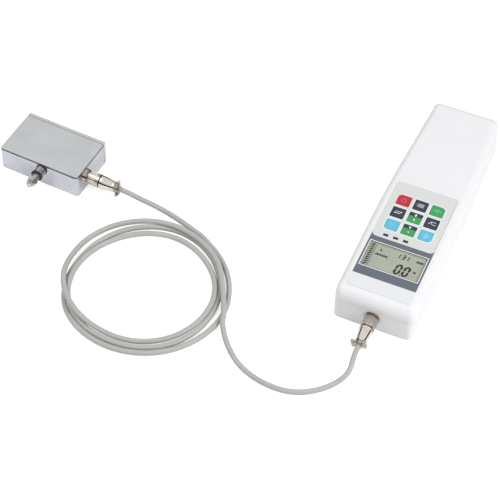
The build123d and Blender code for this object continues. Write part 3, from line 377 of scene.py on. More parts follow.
class Recipe(Wiring):
    """A node material under construction, read on the piece's own coordinates."""

    def __init__(self, name: str) -> None:
        """Start a material with its output and surface shader.

        Args:
            name: The material's name.
        """
        self.material = bpy.data.materials.new(name)
        self.material.use_nodes = True
        super().__init__(self.material.node_tree)
        self.shader = self.tree.nodes["Principled BSDF"]
        self.coordinates = self.add("TexCoord").outputs["Object"]

    def set(self, **values: float | Colour) -> None:
        """Set the shader's own sockets.

        Args:
            values: Values under the sockets' names, with underscores for spaces.
        """
        for name, value in values.items():
            socket = self.shader.inputs[name.replace("_", " ").title().replace("Ior", "IOR")]
            socket.default_value = (*value, 1.0) if isinstance(value, tuple) else value

    def noise(self, scale: float, detail: float = 4.0, roughness: float = 0.55,
              stretch: Point = (1.0, 1.0, 1.0)) -> bpy.types.NodeSocket:
        """Noise on the piece's own coordinates.

        Args:
            scale: Blotches to the metre.
            detail: Octaves of finer noise.
            roughness: Strength of the finer octaves.
            stretch: Scale along each axis, for brushed or drawn metal.

        Returns:
            The noise's value, from 0 to 1.
        """
        mapping = self.add("Mapping", Scale=stretch)
        self.link(self.coordinates, mapping.inputs["Vector"])
        noise = self.add("TexNoise", Scale=scale, Detail=detail, Roughness=roughness)
        self.link(mapping.outputs["Vector"], noise.inputs["Vector"])
        return noise.outputs["Fac"]

    def between(self, value: bpy.types.NodeSocket, low: float, high: float,
                from_low: float = 0.3, from_high: float = 0.7) -> bpy.types.NodeSocket:
        """Stretch a value from one range onto another, without running past it.

        Args:
            value: The value to stretch.
            low: Result at the start of the range.
            high: Result at its end.
            from_low: The value's own lower limit.
            from_high: Its upper limit.

        Returns:
            The stretched value.
        """
        node = self.add("MapRange", clamp=True, **{
            "From Min": from_low, "From Max": from_high, "To Min": low, "To Max": high})
        self.link(value, node.inputs["Value"])
        return node.outputs["Result"]

    def mix(self, factor: bpy.types.NodeSocket, first: bpy.types.NodeSocket | Colour,
            second: Colour) -> bpy.types.NodeSocket:
        """A colour between two.

        Args:
            factor: Share of the second colour.
            first: The first colour, or the socket that it comes from.
            second: The second colour.

        Returns:
            The mixed colour.
        """
        node = self.add("Mix", data_type="RGBA", B=(*second, 1.0))
        self.link(factor, node.inputs["Factor"])
        if isinstance(first, tuple):
            node.inputs["A"].default_value = (*first, 1.0)
        else:
            self.link(first, node.inputs["A"])
        return node.outputs["Result"]

    def mottled(self, factor: bpy.types.NodeSocket, base: Colour,
                spread: float) -> bpy.types.NodeSocket:
        """A colour that varies from darker to lighter.

        Args:
            factor: Where it is lighter, from 0 to 1.
            base: The middle colour.
            spread: Share of itself that it varies by.

        Returns:
            The mottled colour.
        """
        darker, lighter = (tuple(min(1.0, channel * share) for channel in base)
                           for share in (1 - spread, 1 + spread))
        return self.mix(factor, darker, lighter)

    def bump(self, height: bpy.types.NodeSocket, depth: float, strength: float = 1.0,
             below: bpy.types.NodeSocket | None = None) -> bpy.types.NodeSocket:
        """A relief of a given depth, on top of another where one is given.

        Args:
            height: Height of the relief, from 0 to 1.
            depth: Its depth in millimetres.
            strength: Share of it that shows.
            below: A broader relief under it.

        Returns:
            The normal that the relief gives.
        """
        node = self.add("Bump", Strength=strength, Distance=depth * MM)
        self.link(height, node.inputs["Height"])
        if below is not None:
            self.link(below, node.inputs["Normal"])
        return node.outputs["Normal"]

    def finish(self, colour: bpy.types.NodeSocket, roughness: bpy.types.NodeSocket,
               normal: bpy.types.NodeSocket | None = None) -> bpy.types.Material:
        """Drive the shader's sockets and hand the material over.

        Args:
            colour: The colour.
            roughness: The roughness.
            normal: The relief, where there is one.

        Returns:
            The finished material.
        """
        drives = {"Base Color": colour, "Roughness": roughness, "Normal": normal}
        for name, source in drives.items():
            if source is not None:
                self.link(source, self.shader.inputs[name])
        return self.material

    def surface(self, shader: bpy.types.NodeSocket) -> bpy.types.Material:
        """Give the material another shader on its output, and hand it over."""
        self.link(shader, self.tree.nodes["Material Output"].inputs["Surface"])
        return self.material


@dataclass(frozen=True)
class MouldedPlastic:
    """Injection-moulded plastic with a fine spark-eroded grain."""

    name: str
    base: Colour
    roughness: float = 0.45
    grain: float = 2600.0
    grain_depth: float = 0.02
    mottle: float = 0.03
    specular: float = 0.4

    def material(self) -> bpy.types.Material:
        """Build the node material.

        Returns:
            The material.
        """
        recipe = Recipe(self.name)
        recipe.set(specular_ior_level=self.specular)
        broad = recipe.noise(35.0, detail=3.0)
        fine = recipe.noise(self.grain, detail=2.0, roughness=0.6)
        waves = recipe.bump(broad, depth=0.05, strength=0.25)
        return recipe.finish(recipe.mottled(broad, self.base, self.mottle),
                             recipe.between(fine, self.roughness - 0.05, self.roughness + 0.07),
                             recipe.bump(fine, self.grain_depth, strength=0.5, below=waves))


@dataclass(frozen=True)
class PrintedFilm:
    """Polyester film printed from behind, with a fine velvet front."""

    name: str
    base: Colour
    roughness: float = 0.38
    emboss: float = 5200.0
    emboss_depth: float = 0.008

    def material(self) -> bpy.types.Material:
        """Build the node material.

        Returns:
            The material.
        """
        recipe = Recipe(self.name)
        recipe.set(specular_ior_level=0.45, coat_weight=0.15, coat_roughness=0.3)
        ink = recipe.noise(900.0, detail=2.0)
        pebble = recipe.add("TexVoronoi", Scale=self.emboss)
        recipe.link(recipe.coordinates, pebble.inputs["Vector"])
        return recipe.finish(recipe.mottled(ink, self.base, 0.015),
                             recipe.between(ink, self.roughness - 0.04, self.roughness + 0.05),
                             recipe.bump(pebble.outputs["Distance"], self.emboss_depth,
                                         strength=0.35))


@dataclass(frozen=True)
class KeyPlastic:
    """A satin key; a second colour may fill it beyond a line across it."""

    name: str
    base: Colour
    upper: Colour | None = None
    split_y: float = 0.0
    roughness: float = 0.42

    def material(self) -> bpy.types.Material:
        """Build the node material.

        Returns:
            The material.
        """
        recipe = Recipe(self.name)
        recipe.set(specular_ior_level=0.45)
        ink = recipe.noise(700.0, detail=3.0)
        body = recipe.mottled(ink, self.base, 0.06)
        if self.upper is not None:
            split = recipe.add("SeparateXYZ")
            recipe.link(recipe.coordinates, split.inputs["Vector"])
            beyond = recipe.maths("GREATER_THAN", split.outputs["Y"], self.split_y * MM)
            body = recipe.mix(beyond, body, self.upper)
        return recipe.finish(body,
                             recipe.between(ink, self.roughness - 0.05, self.roughness + 0.06),
                             recipe.bump(recipe.noise(3000.0, detail=2.0), depth=0.012,
                                         strength=0.4))


class Lay(Enum):
    """The way a metal's finest scratches run."""

    NONE = (1.0, 1.0, 1.0)
    ALONG_X = (0.02, 1.0, 1.0)
    ALONG_Y = (1.0, 0.02, 1.0)


@dataclass(frozen=True)
class Metal:
    """Bare or plated metal with fine scratches, smudges and a little tarnish."""

    name: str
    base: Colour
    tarnish: Colour
    roughness: float = 0.25
    spread: float = 0.08
    lay: Lay = Lay.NONE
    scratch: float = 2400.0
    scratch_depth: float = 0.004
    wave_depth: float = 0.0

    def material(self) -> bpy.types.Material:
        """Build the node material.

        Returns:
            The material.
        """
        recipe = Recipe(self.name)
        recipe.set(metallic=1.0)
        smudge = recipe.noise(60.0, detail=5.0)
        fine = recipe.noise(self.scratch, detail=3.0, roughness=0.6, stretch=self.lay.value)
        wear = recipe.maths("ADD", recipe.between(smudge, 0.0, 0.5), recipe.between(fine, 0.0, 0.5))
        waves = None
        if self.wave_depth:
            waves = recipe.bump(recipe.noise(45.0, detail=2.0), self.wave_depth)
        return recipe.finish(
            recipe.mix(recipe.between(smudge, 0.0, 1.0), self.base, self.tarnish),
            recipe.between(wear, self.roughness - self.spread, self.roughness + self.spread,
                           0.0, 1.0),
            recipe.bump(fine, self.scratch_depth, strength=0.6, below=waves))


@dataclass(frozen=True)
class Rubber:
    """Matt rubber or soft sheath with a faint drawn or moulded surface."""

    name: str
    base: Colour
    roughness: float = 0.6
    grain: float = 1800.0
    sheen: float = 0.1
    specular: float = 0.35

    def material(self) -> bpy.types.Material:
        """Build the node material.

        Returns:
            The material.
        """
        recipe = Recipe(self.name)
        recipe.set(specular_ior_level=self.specular, sheen_weight=self.sheen)
        dust = recipe.noise(55.0, detail=5.0)
        fine = recipe.noise(self.grain, detail=3.0)
        return recipe.finish(recipe.mottled(recipe.between(dust, 0.0, 1.0), self.base, 0.05),
                             recipe.between(fine, self.roughness - 0.08, self.roughness + 0.08),
                             recipe.bump(fine, depth=0.02, strength=0.4))


@dataclass(frozen=True)
class ClearPane:
    """A thin clear pane: it lets light through and mirrors a little, more at a glance.

    The mirrored share is s + (1 - s) f^5, where f is 0 seen head on and 1 along the pane.
    """

    name: str
    tint: Colour = (0.97, 0.98, 0.97)
    gloss: float = 0.05
    head_on: float = 0.02

    def material(self) -> bpy.types.Material:
        """Build the node material.

        Returns:
            The material.
        """
        recipe = Recipe(self.name)
        clear = recipe.add("BsdfTransparent", Color=(*self.tint, 1.0))
        mirror = recipe.add("BsdfGlossy", Color=(1.0, 1.0, 1.0, 1.0), Roughness=self.gloss)
        glance = recipe.add("LayerWeight", Blend=0.5)
        steep = recipe.maths("POWER", glance.outputs["Facing"], 5.0)
        share = recipe.maths("MULTIPLY_ADD", steep, 1.0 - self.head_on, self.head_on)
        recipe.tree.nodes.remove(recipe.shader)
        return recipe.surface(recipe.shared(share, clear.outputs["BSDF"], mirror.outputs["BSDF"]))


@dataclass(frozen=True)
class LiquidCrystal:
    """The display's grey-green cell, a little uneven and faintly grained."""

    name: str
    base: Colour

    def material(self) -> bpy.types.Material:
        """Build the node material.

        Returns:
            The material.
        """
        recipe = Recipe(self.name)
        recipe.set(specular_ior_level=0.5, coat_weight=0.3, coat_roughness=0.12)
        cloud = recipe.between(recipe.noise(45.0, detail=2.0), 0.0, 1.0)
        return recipe.finish(recipe.mottled(cloud, self.base, 0.06),
                             recipe.between(recipe.noise(2500.0), 0.3, 0.4))


SLATE: Colour = (0.026, 0.034, 0.052)
GREEN: Colour = (0.04, 0.34, 0.105)


class Finish(Enum):
    """Every finish of the force gauge."""

    CASING = MouldedPlastic("casing_plastic", (0.84, 0.84, 0.86))
    FILM = PrintedFilm("keypad_film", (0.68, 0.70, 0.69))
    BEZEL = PrintedFilm("display_film", (0.117, 0.134, 0.163))
    LABEL = PrintedFilm("label_film", (0.77, 0.785, 0.82))
    DARK_PANE = MouldedPlastic("status_pane", (0.01, 0.011, 0.013), 0.15, specular=0.5)
    CLEAR_PANE = ClearPane("display_pane")
    CRYSTAL = LiquidCrystal("display_crystal", (0.435, 0.448, 0.372))
    SEGMENT = Rubber("display_segments", (0.012, 0.015, 0.012), 0.7, sheen=0.0, specular=0.1)
    WHITE_INK = PrintedFilm("white_ink", (0.86, 0.88, 0.88))
    # painted shade: the dark line of the window recess's shade inside the white frame
    BLACK_INK = PrintedFilm("black_ink", (0.03, 0.034, 0.04))
    # painted shade: a dark grey line for the shade in the recess beside the keypad film's right
    # edge
    GREY_INK = PrintedFilm("grey_ink", (0.25, 0.27, 0.27))
    RED_INK = PrintedFilm("red_ink", (0.66, 0.17, 0.18))
    GREEN_INK = PrintedFilm("green_ink", (0.27, 0.60, 0.33))
    BLUE_INK = PrintedFilm("blue_ink", (0.27, 0.62, 0.78))
    PINK_HALO = PrintedFilm("pink_halo", (0.80, 0.70, 0.70))
    PALE_HALO = PrintedFilm("pale_halo", (0.80, 0.84, 0.84))
    RED_KEY = KeyPlastic("red_key", (0.50, 0.018, 0.045))
    DARK_KEY = KeyPlastic("dark_key", SLATE)
    GREEN_KEY = KeyPlastic("green_key", GREEN)
    BLUE_KEY = KeyPlastic("blue_key", (0.115, 0.50, 0.70))
    UP_KEY = KeyPlastic("up_key", GREEN, SLATE, split_y=-21.0)
    DOWN_KEY = KeyPlastic("down_key", GREEN, SLATE, split_y=-35.2)
    POLISHED = Metal("polished_steel", (0.545, 0.55, 0.595), (0.47, 0.475, 0.515), 0.12, 0.05,
                     Lay.ALONG_X, scratch=2600.0, scratch_depth=0.002, wave_depth=0.02)
    SATIN = Metal("satin_steel", (0.60, 0.615, 0.62), (0.545, 0.56, 0.565), 0.36, 0.05,
                  Lay.ALONG_X, scratch=2200.0)
    NICKEL = Metal("bright_nickel", (0.72, 0.69, 0.62), (0.60, 0.56, 0.49), 0.10, 0.04,
                   scratch_depth=0.003)
    SATIN_NICKEL = Metal("satin_nickel", (0.60, 0.565, 0.505), (0.48, 0.45, 0.40), 0.27)
    DARK_NICKEL = Metal("dark_nickel", (0.42, 0.39, 0.34), (0.30, 0.27, 0.23), 0.18, 0.06)
    STEEL = Metal("bare_steel", (0.52, 0.515, 0.50), (0.42, 0.41, 0.39), 0.33)
    # dark metal of the top plate's cut edges, also painted shade of the seam along the plate's edge
    CUT_EDGE = Metal("cut_edge", (0.17, 0.17, 0.18), (0.10, 0.10, 0.11), 0.35)
    RUBBER = Rubber("black_rubber", (0.016, 0.016, 0.017))
    CABLE = Rubber("cable_sheath", (0.47, 0.47, 0.455), 0.5, grain=1400.0, sheen=0.15)
    BRASS = Metal("turned_brass", (0.75, 0.56, 0.26), (0.60, 0.42, 0.18), 0.28)
    ALUMINIUM = Metal("milled_aluminium", (0.78, 0.78, 0.79), (0.68, 0.68, 0.70), 0.34,
                      lay=Lay.ALONG_Y)
    BOARD = PrintedFilm("solder_mask", (0.02, 0.18, 0.06), 0.3)
    BATTERY = PrintedFilm("battery_sleeve", (0.06, 0.2, 0.45), 0.3)
    BLACK_PLASTIC = MouldedPlastic("socket_plastic", (0.02, 0.02, 0.021))
    LAMP = MouldedPlastic("lamp_lens", (0.5, 0.05, 0.04), 0.15, specular=0.5)

    @property
    @cache
    def material(self) -> bpy.types.Material:
        """The finish's one material, built the first time it is asked for."""
        return self.value.material()


def dress(finishes: dict[str, Finish]) -> None:
    """Give CAD nodes new finishes.

    Args:
        finishes: The finish of each node.
    """
    for node, finish in finishes.items():
        materials = frame["nodes"][node].data.materials
        materials.clear()
        materials.append(finish.material)


def seat(thing: bpy.types.Object, body: str, slot: str, finish: Finish, *nodes: str) -> None:
    """Give a new piece its finish, its body and the CAD nodes that it stands for.

    Args:
        thing: The piece.
        body: The CAD body that it moves with.
        slot: The record's material slot; not used.
        finish: Its finish.
        nodes: CAD nodes that it replaces.
    """
    thing.data.materials.clear()
    thing.data.materials.append(finish.material)
    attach(thing, body)
    if nodes:
        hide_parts(*nodes)
    LOG.info("%s rides on %s", thing.name, body)


def finished(node: str, slot: str, finish: Finish) -> bpy.types.Object:
    """Replace a CAD node with a joined-up, smooth-shaded copy in a new finish.

    Args:
        node: The CAD node's name.
        slot: The record's slot of its finish; not used.
        finish: The new finish.

    Returns:
        The new object, riding on the node's body.
    """
    source = frame["nodes"][node]
    thing = bpy.data.objects.new(node + "_finished", source.data.copy())
    bpy.context.scene.collection.objects.link(thing)
    work = bmesh.new()
    work.from_mesh(thing.data)
    bmesh.ops.remove_doubles(work, verts=work.verts, dist=WELD_GAP * MM)
    bmesh.ops.dissolve_degenerate(work, dist=SLIVER * MM, edges=work.edges)
    work.to_mesh(thing.data)
    work.free()
    soften(thing)
    seat(thing, source["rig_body"], slot, finish, node)
    return thing


# --- Marks: flat printed shapes ------------------------------------------------
class Marks:
    """Flat shapes printed on a surface, gathered into one thin piece."""

    def __init__(self, low: float, high: float, slant: float = 0.0) -> None:
        """Start an empty set of marks.

        Args:
            low: Z of their underside.
            high: Z of their face.
            slant: Lean of the shapes to the right, as a share of their height.
        """
        self.low = low
        self.high = high
        self.slant = slant
        self.points: list[np.ndarray] = []
        self.faces: list[tuple[int, ...]] = []
        self.count = 0

    @classmethod
    def printed(cls, surface: float) -> "Marks":
        """An empty set of marks printed on a surface at a given Z."""
        return cls(surface - PRINT_SINK, surface + PRINT_RELIEF)

    def shape(self, outline: np.ndarray, centre: Place, turn: float = 0.0) -> None:
        """Add one convex shape, swept straight from the underside to the face.

        Args:
            outline: Counter-clockwise points.
            centre: Where its origin lies.
            turn: Turn about that origin, in degrees.
        """
        angle = math.radians(turn)
        spin = np.array([[math.cos(angle), math.sin(angle)], [-math.sin(angle), math.cos(angle)]])
        flat = outline @ spin
        flat = flat + np.outer(flat[:, 1] * self.slant, [1.0, 0.0]) + np.array(centre)
        number, first = len(flat), self.count
        self.points += [np.column_stack([flat, np.full(number, z)]) for z in (self.low, self.high)]
        self.faces.append(tuple(range(first + number - 1, first - 1, -1)))
        self.faces.append(tuple(range(first + number, first + 2 * number)))
        self.faces += grid_faces(2, number, first)
        self.count += 2 * number

    def bar(self, centre: Place, width: float, height: float, turn: float = 0.0) -> None:
        """Add a bar whose corners are rounded a little, less where it is very thin.

        Args:
            centre: The bar's middle.
            width: Size across, before its turn.
            height: Size upward.
            turn: Turn in degrees.
        """
        corner = min(BAR_CORNER, THIN_BAR_SHARE * min(width, height))
        self.shape(rounded_outline(width, height, (corner,) * 4, 3), centre, turn)

    def bars(self, across: Iterable[float], up: Iterable[float], width: float, height: float,
             turn: float = 0.0) -> None:
        """Add equal bars wherever some X places meet some Y places.

        Args:
            across: The X places.
            up: The Y places.
            width: Size of each bar across.
            height: Its size upward.
            turn: Its turn in degrees.
        """
        for centre in product(across, up):
            self.bar(centre, width, height, turn)

    def band(self, centre: Place, radius: float, width: float, start: float = 0.0,
             end: float = 360.0, pieces: int = 24) -> None:
        """Add a band along an arc: quads between radius - width/2 and radius + width/2.

        Args:
            centre: The arc's centre.
            radius: Radius of the band's middle.
            width: Width of the band.
            start: Angle of its start in degrees.
            end: Angle of its end.
            pieces: Number of quads along it.
        """
        turn = np.radians(np.linspace(start, end, pieces + 1))
        edge = np.stack([np.cos(turn), np.sin(turn)], axis=1)
        inner, outer = edge * (radius - width / 2), edge * (radius + width / 2)
        for quad in np.stack([inner[:-1], outer[:-1], outer[1:], inner[1:]], axis=1):
            self.shape(quad, centre)

    def triangle(self, centre: Place, size: float, turn: float = 0.0) -> None:
        """Add an equal-sided triangle that points up before its turn.

        Args:
            centre: The triangle's middle.
            size: Distance from there to each tip.
            turn: Turn in degrees.
        """
        angle = np.radians([90.0, 210.0, 330.0])
        self.shape(np.stack([np.cos(angle), np.sin(angle)], axis=1) * size, centre, turn)

    def piece(self, name: str, finish: Finish, slot: str, body: str) -> None:
        """Make the marks into one object with a finish and a body."""
        seat(add_mesh(name, np.vstack(self.points), self.faces), body, slot, finish)


class Segment(Enum):
    """The seven segments of a digit: place in the digit's box and whether it lies flat."""

    TOP = (0.5, 1.0, True)
    UPPER_RIGHT = (1.0, 0.75, False)
    LOWER_RIGHT = (1.0, 0.25, False)
    BOTTOM = (0.5, 0.0, True)
    LOWER_LEFT = (0.0, 0.25, False)
    UPPER_LEFT = (0.0, 0.75, False)
    MIDDLE = (0.5, 0.5, True)


DIGITS: dict[str, tuple[Segment, ...]] = {
    "0": (Segment.TOP, Segment.UPPER_RIGHT, Segment.LOWER_RIGHT, Segment.BOTTOM,
          Segment.LOWER_LEFT, Segment.UPPER_LEFT),
    "1": (Segment.UPPER_RIGHT, Segment.LOWER_RIGHT),
    "3": (Segment.TOP, Segment.UPPER_RIGHT, Segment.MIDDLE, Segment.LOWER_RIGHT, Segment.BOTTOM),
}


def digit(marks: Marks, figure: str, centre: Place, width: float, height: float,
          stroke: float) -> None:
    """Add a seven-segment digit: each segment is a bar with both ends cut to a point.

    Args:
        marks: The marks it is added to.
        figure: The digit.
        centre: Centre of the digit's box.
        width: Width between the middles of its upright segments.
        height: Height between the middles of its outer flat segments.
        stroke: Width of a segment.
    """
    half = stroke / 2
    for segment in DIGITS[figure]:
        across, up, flat = segment.value
        reach = (width if flat else height / 2) / 2
        outline = np.array([[-reach, 0.0], [half - reach, -half], [reach - half, -half],
                            [reach, 0.0], [reach - half, half], [half - reach, half]])
        if not flat:
            outline = outline @ np.array([[0.0, 1.0], [-1.0, 0.0]])
        marks.shape(outline + np.array([(across - 0.5) * width, (up - 0.5) * height]), centre)


# --- Sub-assemblies ------------------------------------------------------------
@dataclass
class Studio:
    """Camera, lamps, white surroundings and the floor."""

    eye: Point = (197.061, -887.970, 1019.539)
    right: Point = (0.91891961, 0.39339597, 0.02874653)
    down: Point = (0.31685463, -0.69279312, -0.64779691)
    ahead: Point = (-0.23492529, 0.60438175, -0.76127052)
    lens: float = 119.1875
    sensor: float = 36.0
    seen_span: tuple[float, float] = (0.01, 50.0)  # metres
    floor_reach: float = 6000.0
    floor_drop: float = 0.02
    fill: float = 0.5
    seen_glow: float = 0.62
    mirrored_glow: float = 0.4
    screen_reach: float = 1800.0
    screen_span: tuple[float, float] = (60.0, 950.0)
    screen_sides: int = 48

    def camera(self) -> None:
        """Set up the camera from its rows of right, down and ahead directions."""
        data = bpy.data.cameras.new("camera")
        data.lens = self.lens
        data.sensor_width = self.sensor
        data.clip_start, data.clip_end = self.seen_span
        eye = bpy.data.objects.new("camera", data)
        place = np.eye(4)
        place[:3, :3] = np.array([self.right, np.negative(self.down), np.negative(self.ahead)]).T
        place[:3, 3] = np.array(self.eye) * MM
        eye.matrix_world = Matrix(place.tolist())
        bpy.context.scene.collection.objects.link(eye)
        bpy.context.scene.camera = eye

    def lamp(self, name: str, place: Point, aim: Point, size: float, power: float) -> None:
        """Add a square area lamp.

        Args:
            name: The lamp's name.
            place: Its place.
            aim: The point it faces.
            size: Its side.
            power: Its power in watts.
        """
        data = bpy.data.lights.new(name, "AREA")
        data.size = size * MM
        data.energy = power
        lamp = bpy.data.objects.new(name, data)
        towards = Vector(np.subtract(aim, place).tolist())
        lamp.matrix_world = (Matrix.Translation(Vector(place) * MM)
                             @ towards.to_track_quat("-Z", "Y").to_matrix().to_4x4())
        bpy.context.scene.collection.objects.link(lamp)

    def surroundings(self) -> None:
        """White to the camera and in gloss and glass, a soft grey fill to everything else."""
        world = bpy.data.worlds.new("surroundings")
        world.use_nodes = True
        world.node_tree.nodes.clear()
        wiring = Wiring(world.node_tree)
        rays = wiring.add("LightPath").outputs
        plain = wiring.maths("MAXIMUM", rays["Is Camera Ray"], rays["Is Glossy Ray"])
        plain = wiring.maths("MAXIMUM", plain, rays["Is Transmission Ray"])
        soft, white = (
            wiring.add("Background", Color=(1.0, 1.0, 1.0, 1.0), Strength=strength).outputs[0]
            for strength in (self.fill, 1.0))
        output = wiring.add("OutputWorld")
        wiring.link(wiring.shared(plain, soft, white), output.inputs["Surface"])
        bpy.context.scene.world = world

    def floor(self) -> None:
        """A wide white floor, a little brighter to the camera, that keeps the object's shadow."""
        corners = np.array(CORNER_SIGNS) * self.floor_reach
        points = np.column_stack([corners, np.full(len(corners), -self.floor_drop)])
        floor = add_mesh("floor", points, [(2, 3, 0, 1)])  # from its near left corner round
        recipe = Recipe("white_floor")
        recipe.set(base_color=(0.8, 0.8, 0.8), roughness=0.9, specular_ior_level=0.1)
        rays = recipe.add("LightPath").outputs
        mirrored = recipe.maths("MULTIPLY", rays["Is Glossy Ray"], self.mirrored_glow)
        strength = recipe.maths("MULTIPLY_ADD", rays["Is Camera Ray"], self.seen_glow, mirrored)
        glow = recipe.add("Emission")
        recipe.link(strength, glow.inputs["Strength"])
        both = recipe.add("AddShader")
        recipe.link(recipe.shader.outputs["BSDF"], both.inputs[0])
        recipe.link(glow.outputs["Emission"], both.inputs[1])
        floor.data.materials.append(recipe.surface(both.outputs["Shader"]))

    def skirting(self) -> None:
        """A low dark screen round the table that only gloss sees, so that metal shows its form.

        Its points lie at (R cos t, R sin t, z) for t round a full turn and two heights z.
        """
        turn = np.linspace(0.0, 2.0 * math.pi, self.screen_sides, endpoint=False)
        ring = self.screen_reach * np.stack([np.cos(turn), np.sin(turn)], axis=1)
        points = np.vstack([np.column_stack([ring, np.full(len(ring), z)])
                            for z in self.screen_span])
        screen = add_mesh("dark_screen", points, grid_faces(2, self.screen_sides))
        recipe = Recipe("dark_cloth")
        recipe.set(base_color=(0.07, 0.07, 0.07), roughness=0.9)
        screen.data.materials.append(recipe.material)
        screen.visible_camera = screen.visible_diffuse = screen.visible_shadow = False
        screen.visible_transmission = False

    def build(self) -> None:
        """Set the whole studio up."""
        bpy.context.scene.view_settings.view_transform = "Standard"
        self.camera()
        self.surroundings()
        self.floor()
        self.skirting()
        self.lamp("window_right", (900.0, -250.0, 900.0), aim=(-60.0, -60.0, 20.0),
                  size=700.0, power=10.0)
        self.lamp("window_left", (-900.0, -300.0, 1000.0), aim=(-150.0, -60.0, 10.0),
                  size=800.0, power=5.0)
        LOG.info("studio set up")


@dataclass
class Cable:
    """The sheathed cable from the display unit's plug, through its coil, to the load cell."""

    diameter: float = 4.4
    length: float = 1500.0
    exit: Point = (0.0, -138.0, 15.0)
    coil_centre: Place = (-180.0, -147.0)
    first_angle: float = 45.0
    angle_step: float = 22.5
    rest_gap: float = 0.05
    display_lead: tuple[Point, ...] = (
        (0.0, -153.0, 15.0), (0.3, -169.0, 9.6), (-12.0, -184.9, 4.2), (-33.0, -196.3, 2.4),
        (-57.5, -197.0, 2.3), (-79.5, -189.2, 2.7), (-96.0, -175.0, 4.2), (-105.6, -160.8, 6.2),
        (-109.8, -149.2, 6.9), (-122.7, -123.3, 6.8),
    )
    radius_before: float = 69.4
    radii: tuple[float, ...] = (
        61.4, 61.3, 65.1, 64.1, 61.9, 58.2, 58.4, 58.2, 54.2, 53.2, 51.3, 53.8, 61.5, 62.8, 64.4,
        61.6, 60.2, 60.6, 57.5, 57.2, 65.1, 67.8, 69.8, 69.9, 66.3,
    )
    radius_after: float = 72.0
    heights: tuple[float, ...] = (
        6.6, 6.7, 6.9, 5.0, 2.3, 2.3, 3.4, 9.3, 10.1, 7.7, 3.8, 2.4, 2.4, 3.3, 5.2, 4.0, 2.4,
        2.3, 2.3, 2.3, 2.3, 2.9, 5.4, 6.1, 5.6, 2.8,
    )
    sensor_lead: tuple[Point, ...] = (
        (-154.4, -85.2, 2.3), (-166.5, -80.4, 2.6), (-184.0, -74.9, 3.0), (-202.5, -72.2, 5.5),
        (-218.0, -72.4, 9.0), (-230.92, -72.09, 11.5), (-244.194, -71.229, 11.5),
    )

    def turns(self) -> np.ndarray:
        """The coil's points, one at each radius and one between each two.

        A point between two radii takes nine sixteenths of each less a sixteenth of the next
        ones out, the midpoint of a smooth curve through all four; the heights follow the
        humps where a turn crosses those laid before it, and rest on the table beyond them.

        Returns:
            Points, one row each.
        """
        padded = np.array([self.radius_before, *self.radii, self.radius_after])
        every = np.empty(2 * len(self.radii) - 1)
        every[0::2] = self.radii
        every[1::2] = (9 * (padded[1:-2] + padded[2:-1]) - padded[:-3] - padded[3:]) / 16
        angle = np.radians(self.first_angle + self.angle_step * np.arange(len(every)))
        height = np.full(len(every), self.diameter / 2 + self.rest_gap)
        height[:len(self.heights)] = self.heights
        x, y = self.coil_centre
        return np.column_stack([x + every * np.cos(angle), y + every * np.sin(angle), height])

    def controls(self) -> np.ndarray:
        """Control points of a quadratic spline that runs through the chosen points.

        The middle of a span takes six eighths of its own control point and one eighth of each
        neighbour, so the control points solve that band of equations. Heights stay as given.

        Returns:
            Control points, one row each.
        """
        through = np.vstack([self.exit, self.display_lead, self.turns(), self.sensor_lead])
        same = np.eye(len(through))
        band = 0.75 * same
        band += 0.125 * (np.eye(len(through), k=1) + np.eye(len(through), k=-1))
        band[[0, -1]] = same[[0, -1]]
        return np.column_stack([np.linalg.solve(band, through[:, :2]), through[:, 2]])

    def build(self) -> None:
        points = self.controls() * MM
        curve = bpy.data.curves.new("cable", "CURVE")
        curve.dimensions = "3D"
        spline = curve.splines.new("NURBS")
        spline.points.add(len(points) - 1)
        spline.points.foreach_set("co", np.column_stack([points, np.ones(len(points))]).ravel())
        spline.order_u = 3
        spline.use_endpoint_u = True
        spline.resolution_u = 8
        curve.bevel_depth = self.diameter / 2 * MM
        curve.bevel_resolution = 5
        curve.use_fill_caps = True
        cable = bpy.data.objects.new("cable", curve)
        bpy.context.scene.collection.objects.link(cable)
        curve.materials.append(Finish.CABLE.material)
        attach(cable, INSTRUMENT)
        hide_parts("display_lead", "cable_coil", "sensor_lead")
        LOG.info("cable laid through %d points", len(points))


@dataclass
class Casing:
    """The display unit's two covers, with the parts inside them."""

    finishes: ClassVar[dict[str, Finish]] = {
        "front_cover": Finish.CASING, "rear_cover": Finish.CASING, "main_board": Finish.BOARD,
        "dome_switches": Finish.STEEL, "indicator_leds": Finish.LAMP,
        "buzzer": Finish.BLACK_PLASTIC, "battery_pack": Finish.BATTERY,
        "mounting_inserts": Finish.BRASS, "case_screws": Finish.STEEL,
        "charge_socket": Finish.BLACK_PLASTIC, "data_socket": Finish.BLACK_PLASTIC,
    }

    def build(self) -> None:
        """Dress the covers and everything that they hold."""
        dress(self.finishes)
        LOG.info("casing dressed")


def round_place(radius: float, turn: float) -> Place:
    """The place at a radius from the origin and a turn in degrees round it."""
    return radius * math.cos(math.radians(turn)), radius * math.sin(math.radians(turn))


@dataclass(frozen=True)
class Key:
    """One key of the keypad and the sign printed on it.

    Each stroke of the sign is a way of adding a mark, its place about the key's middle, and
    what else that way takes.
    """

    name: str
    column: int
    row: int
    finish: Finish
    ink: Finish
    strokes: tuple[Stroke, ...]


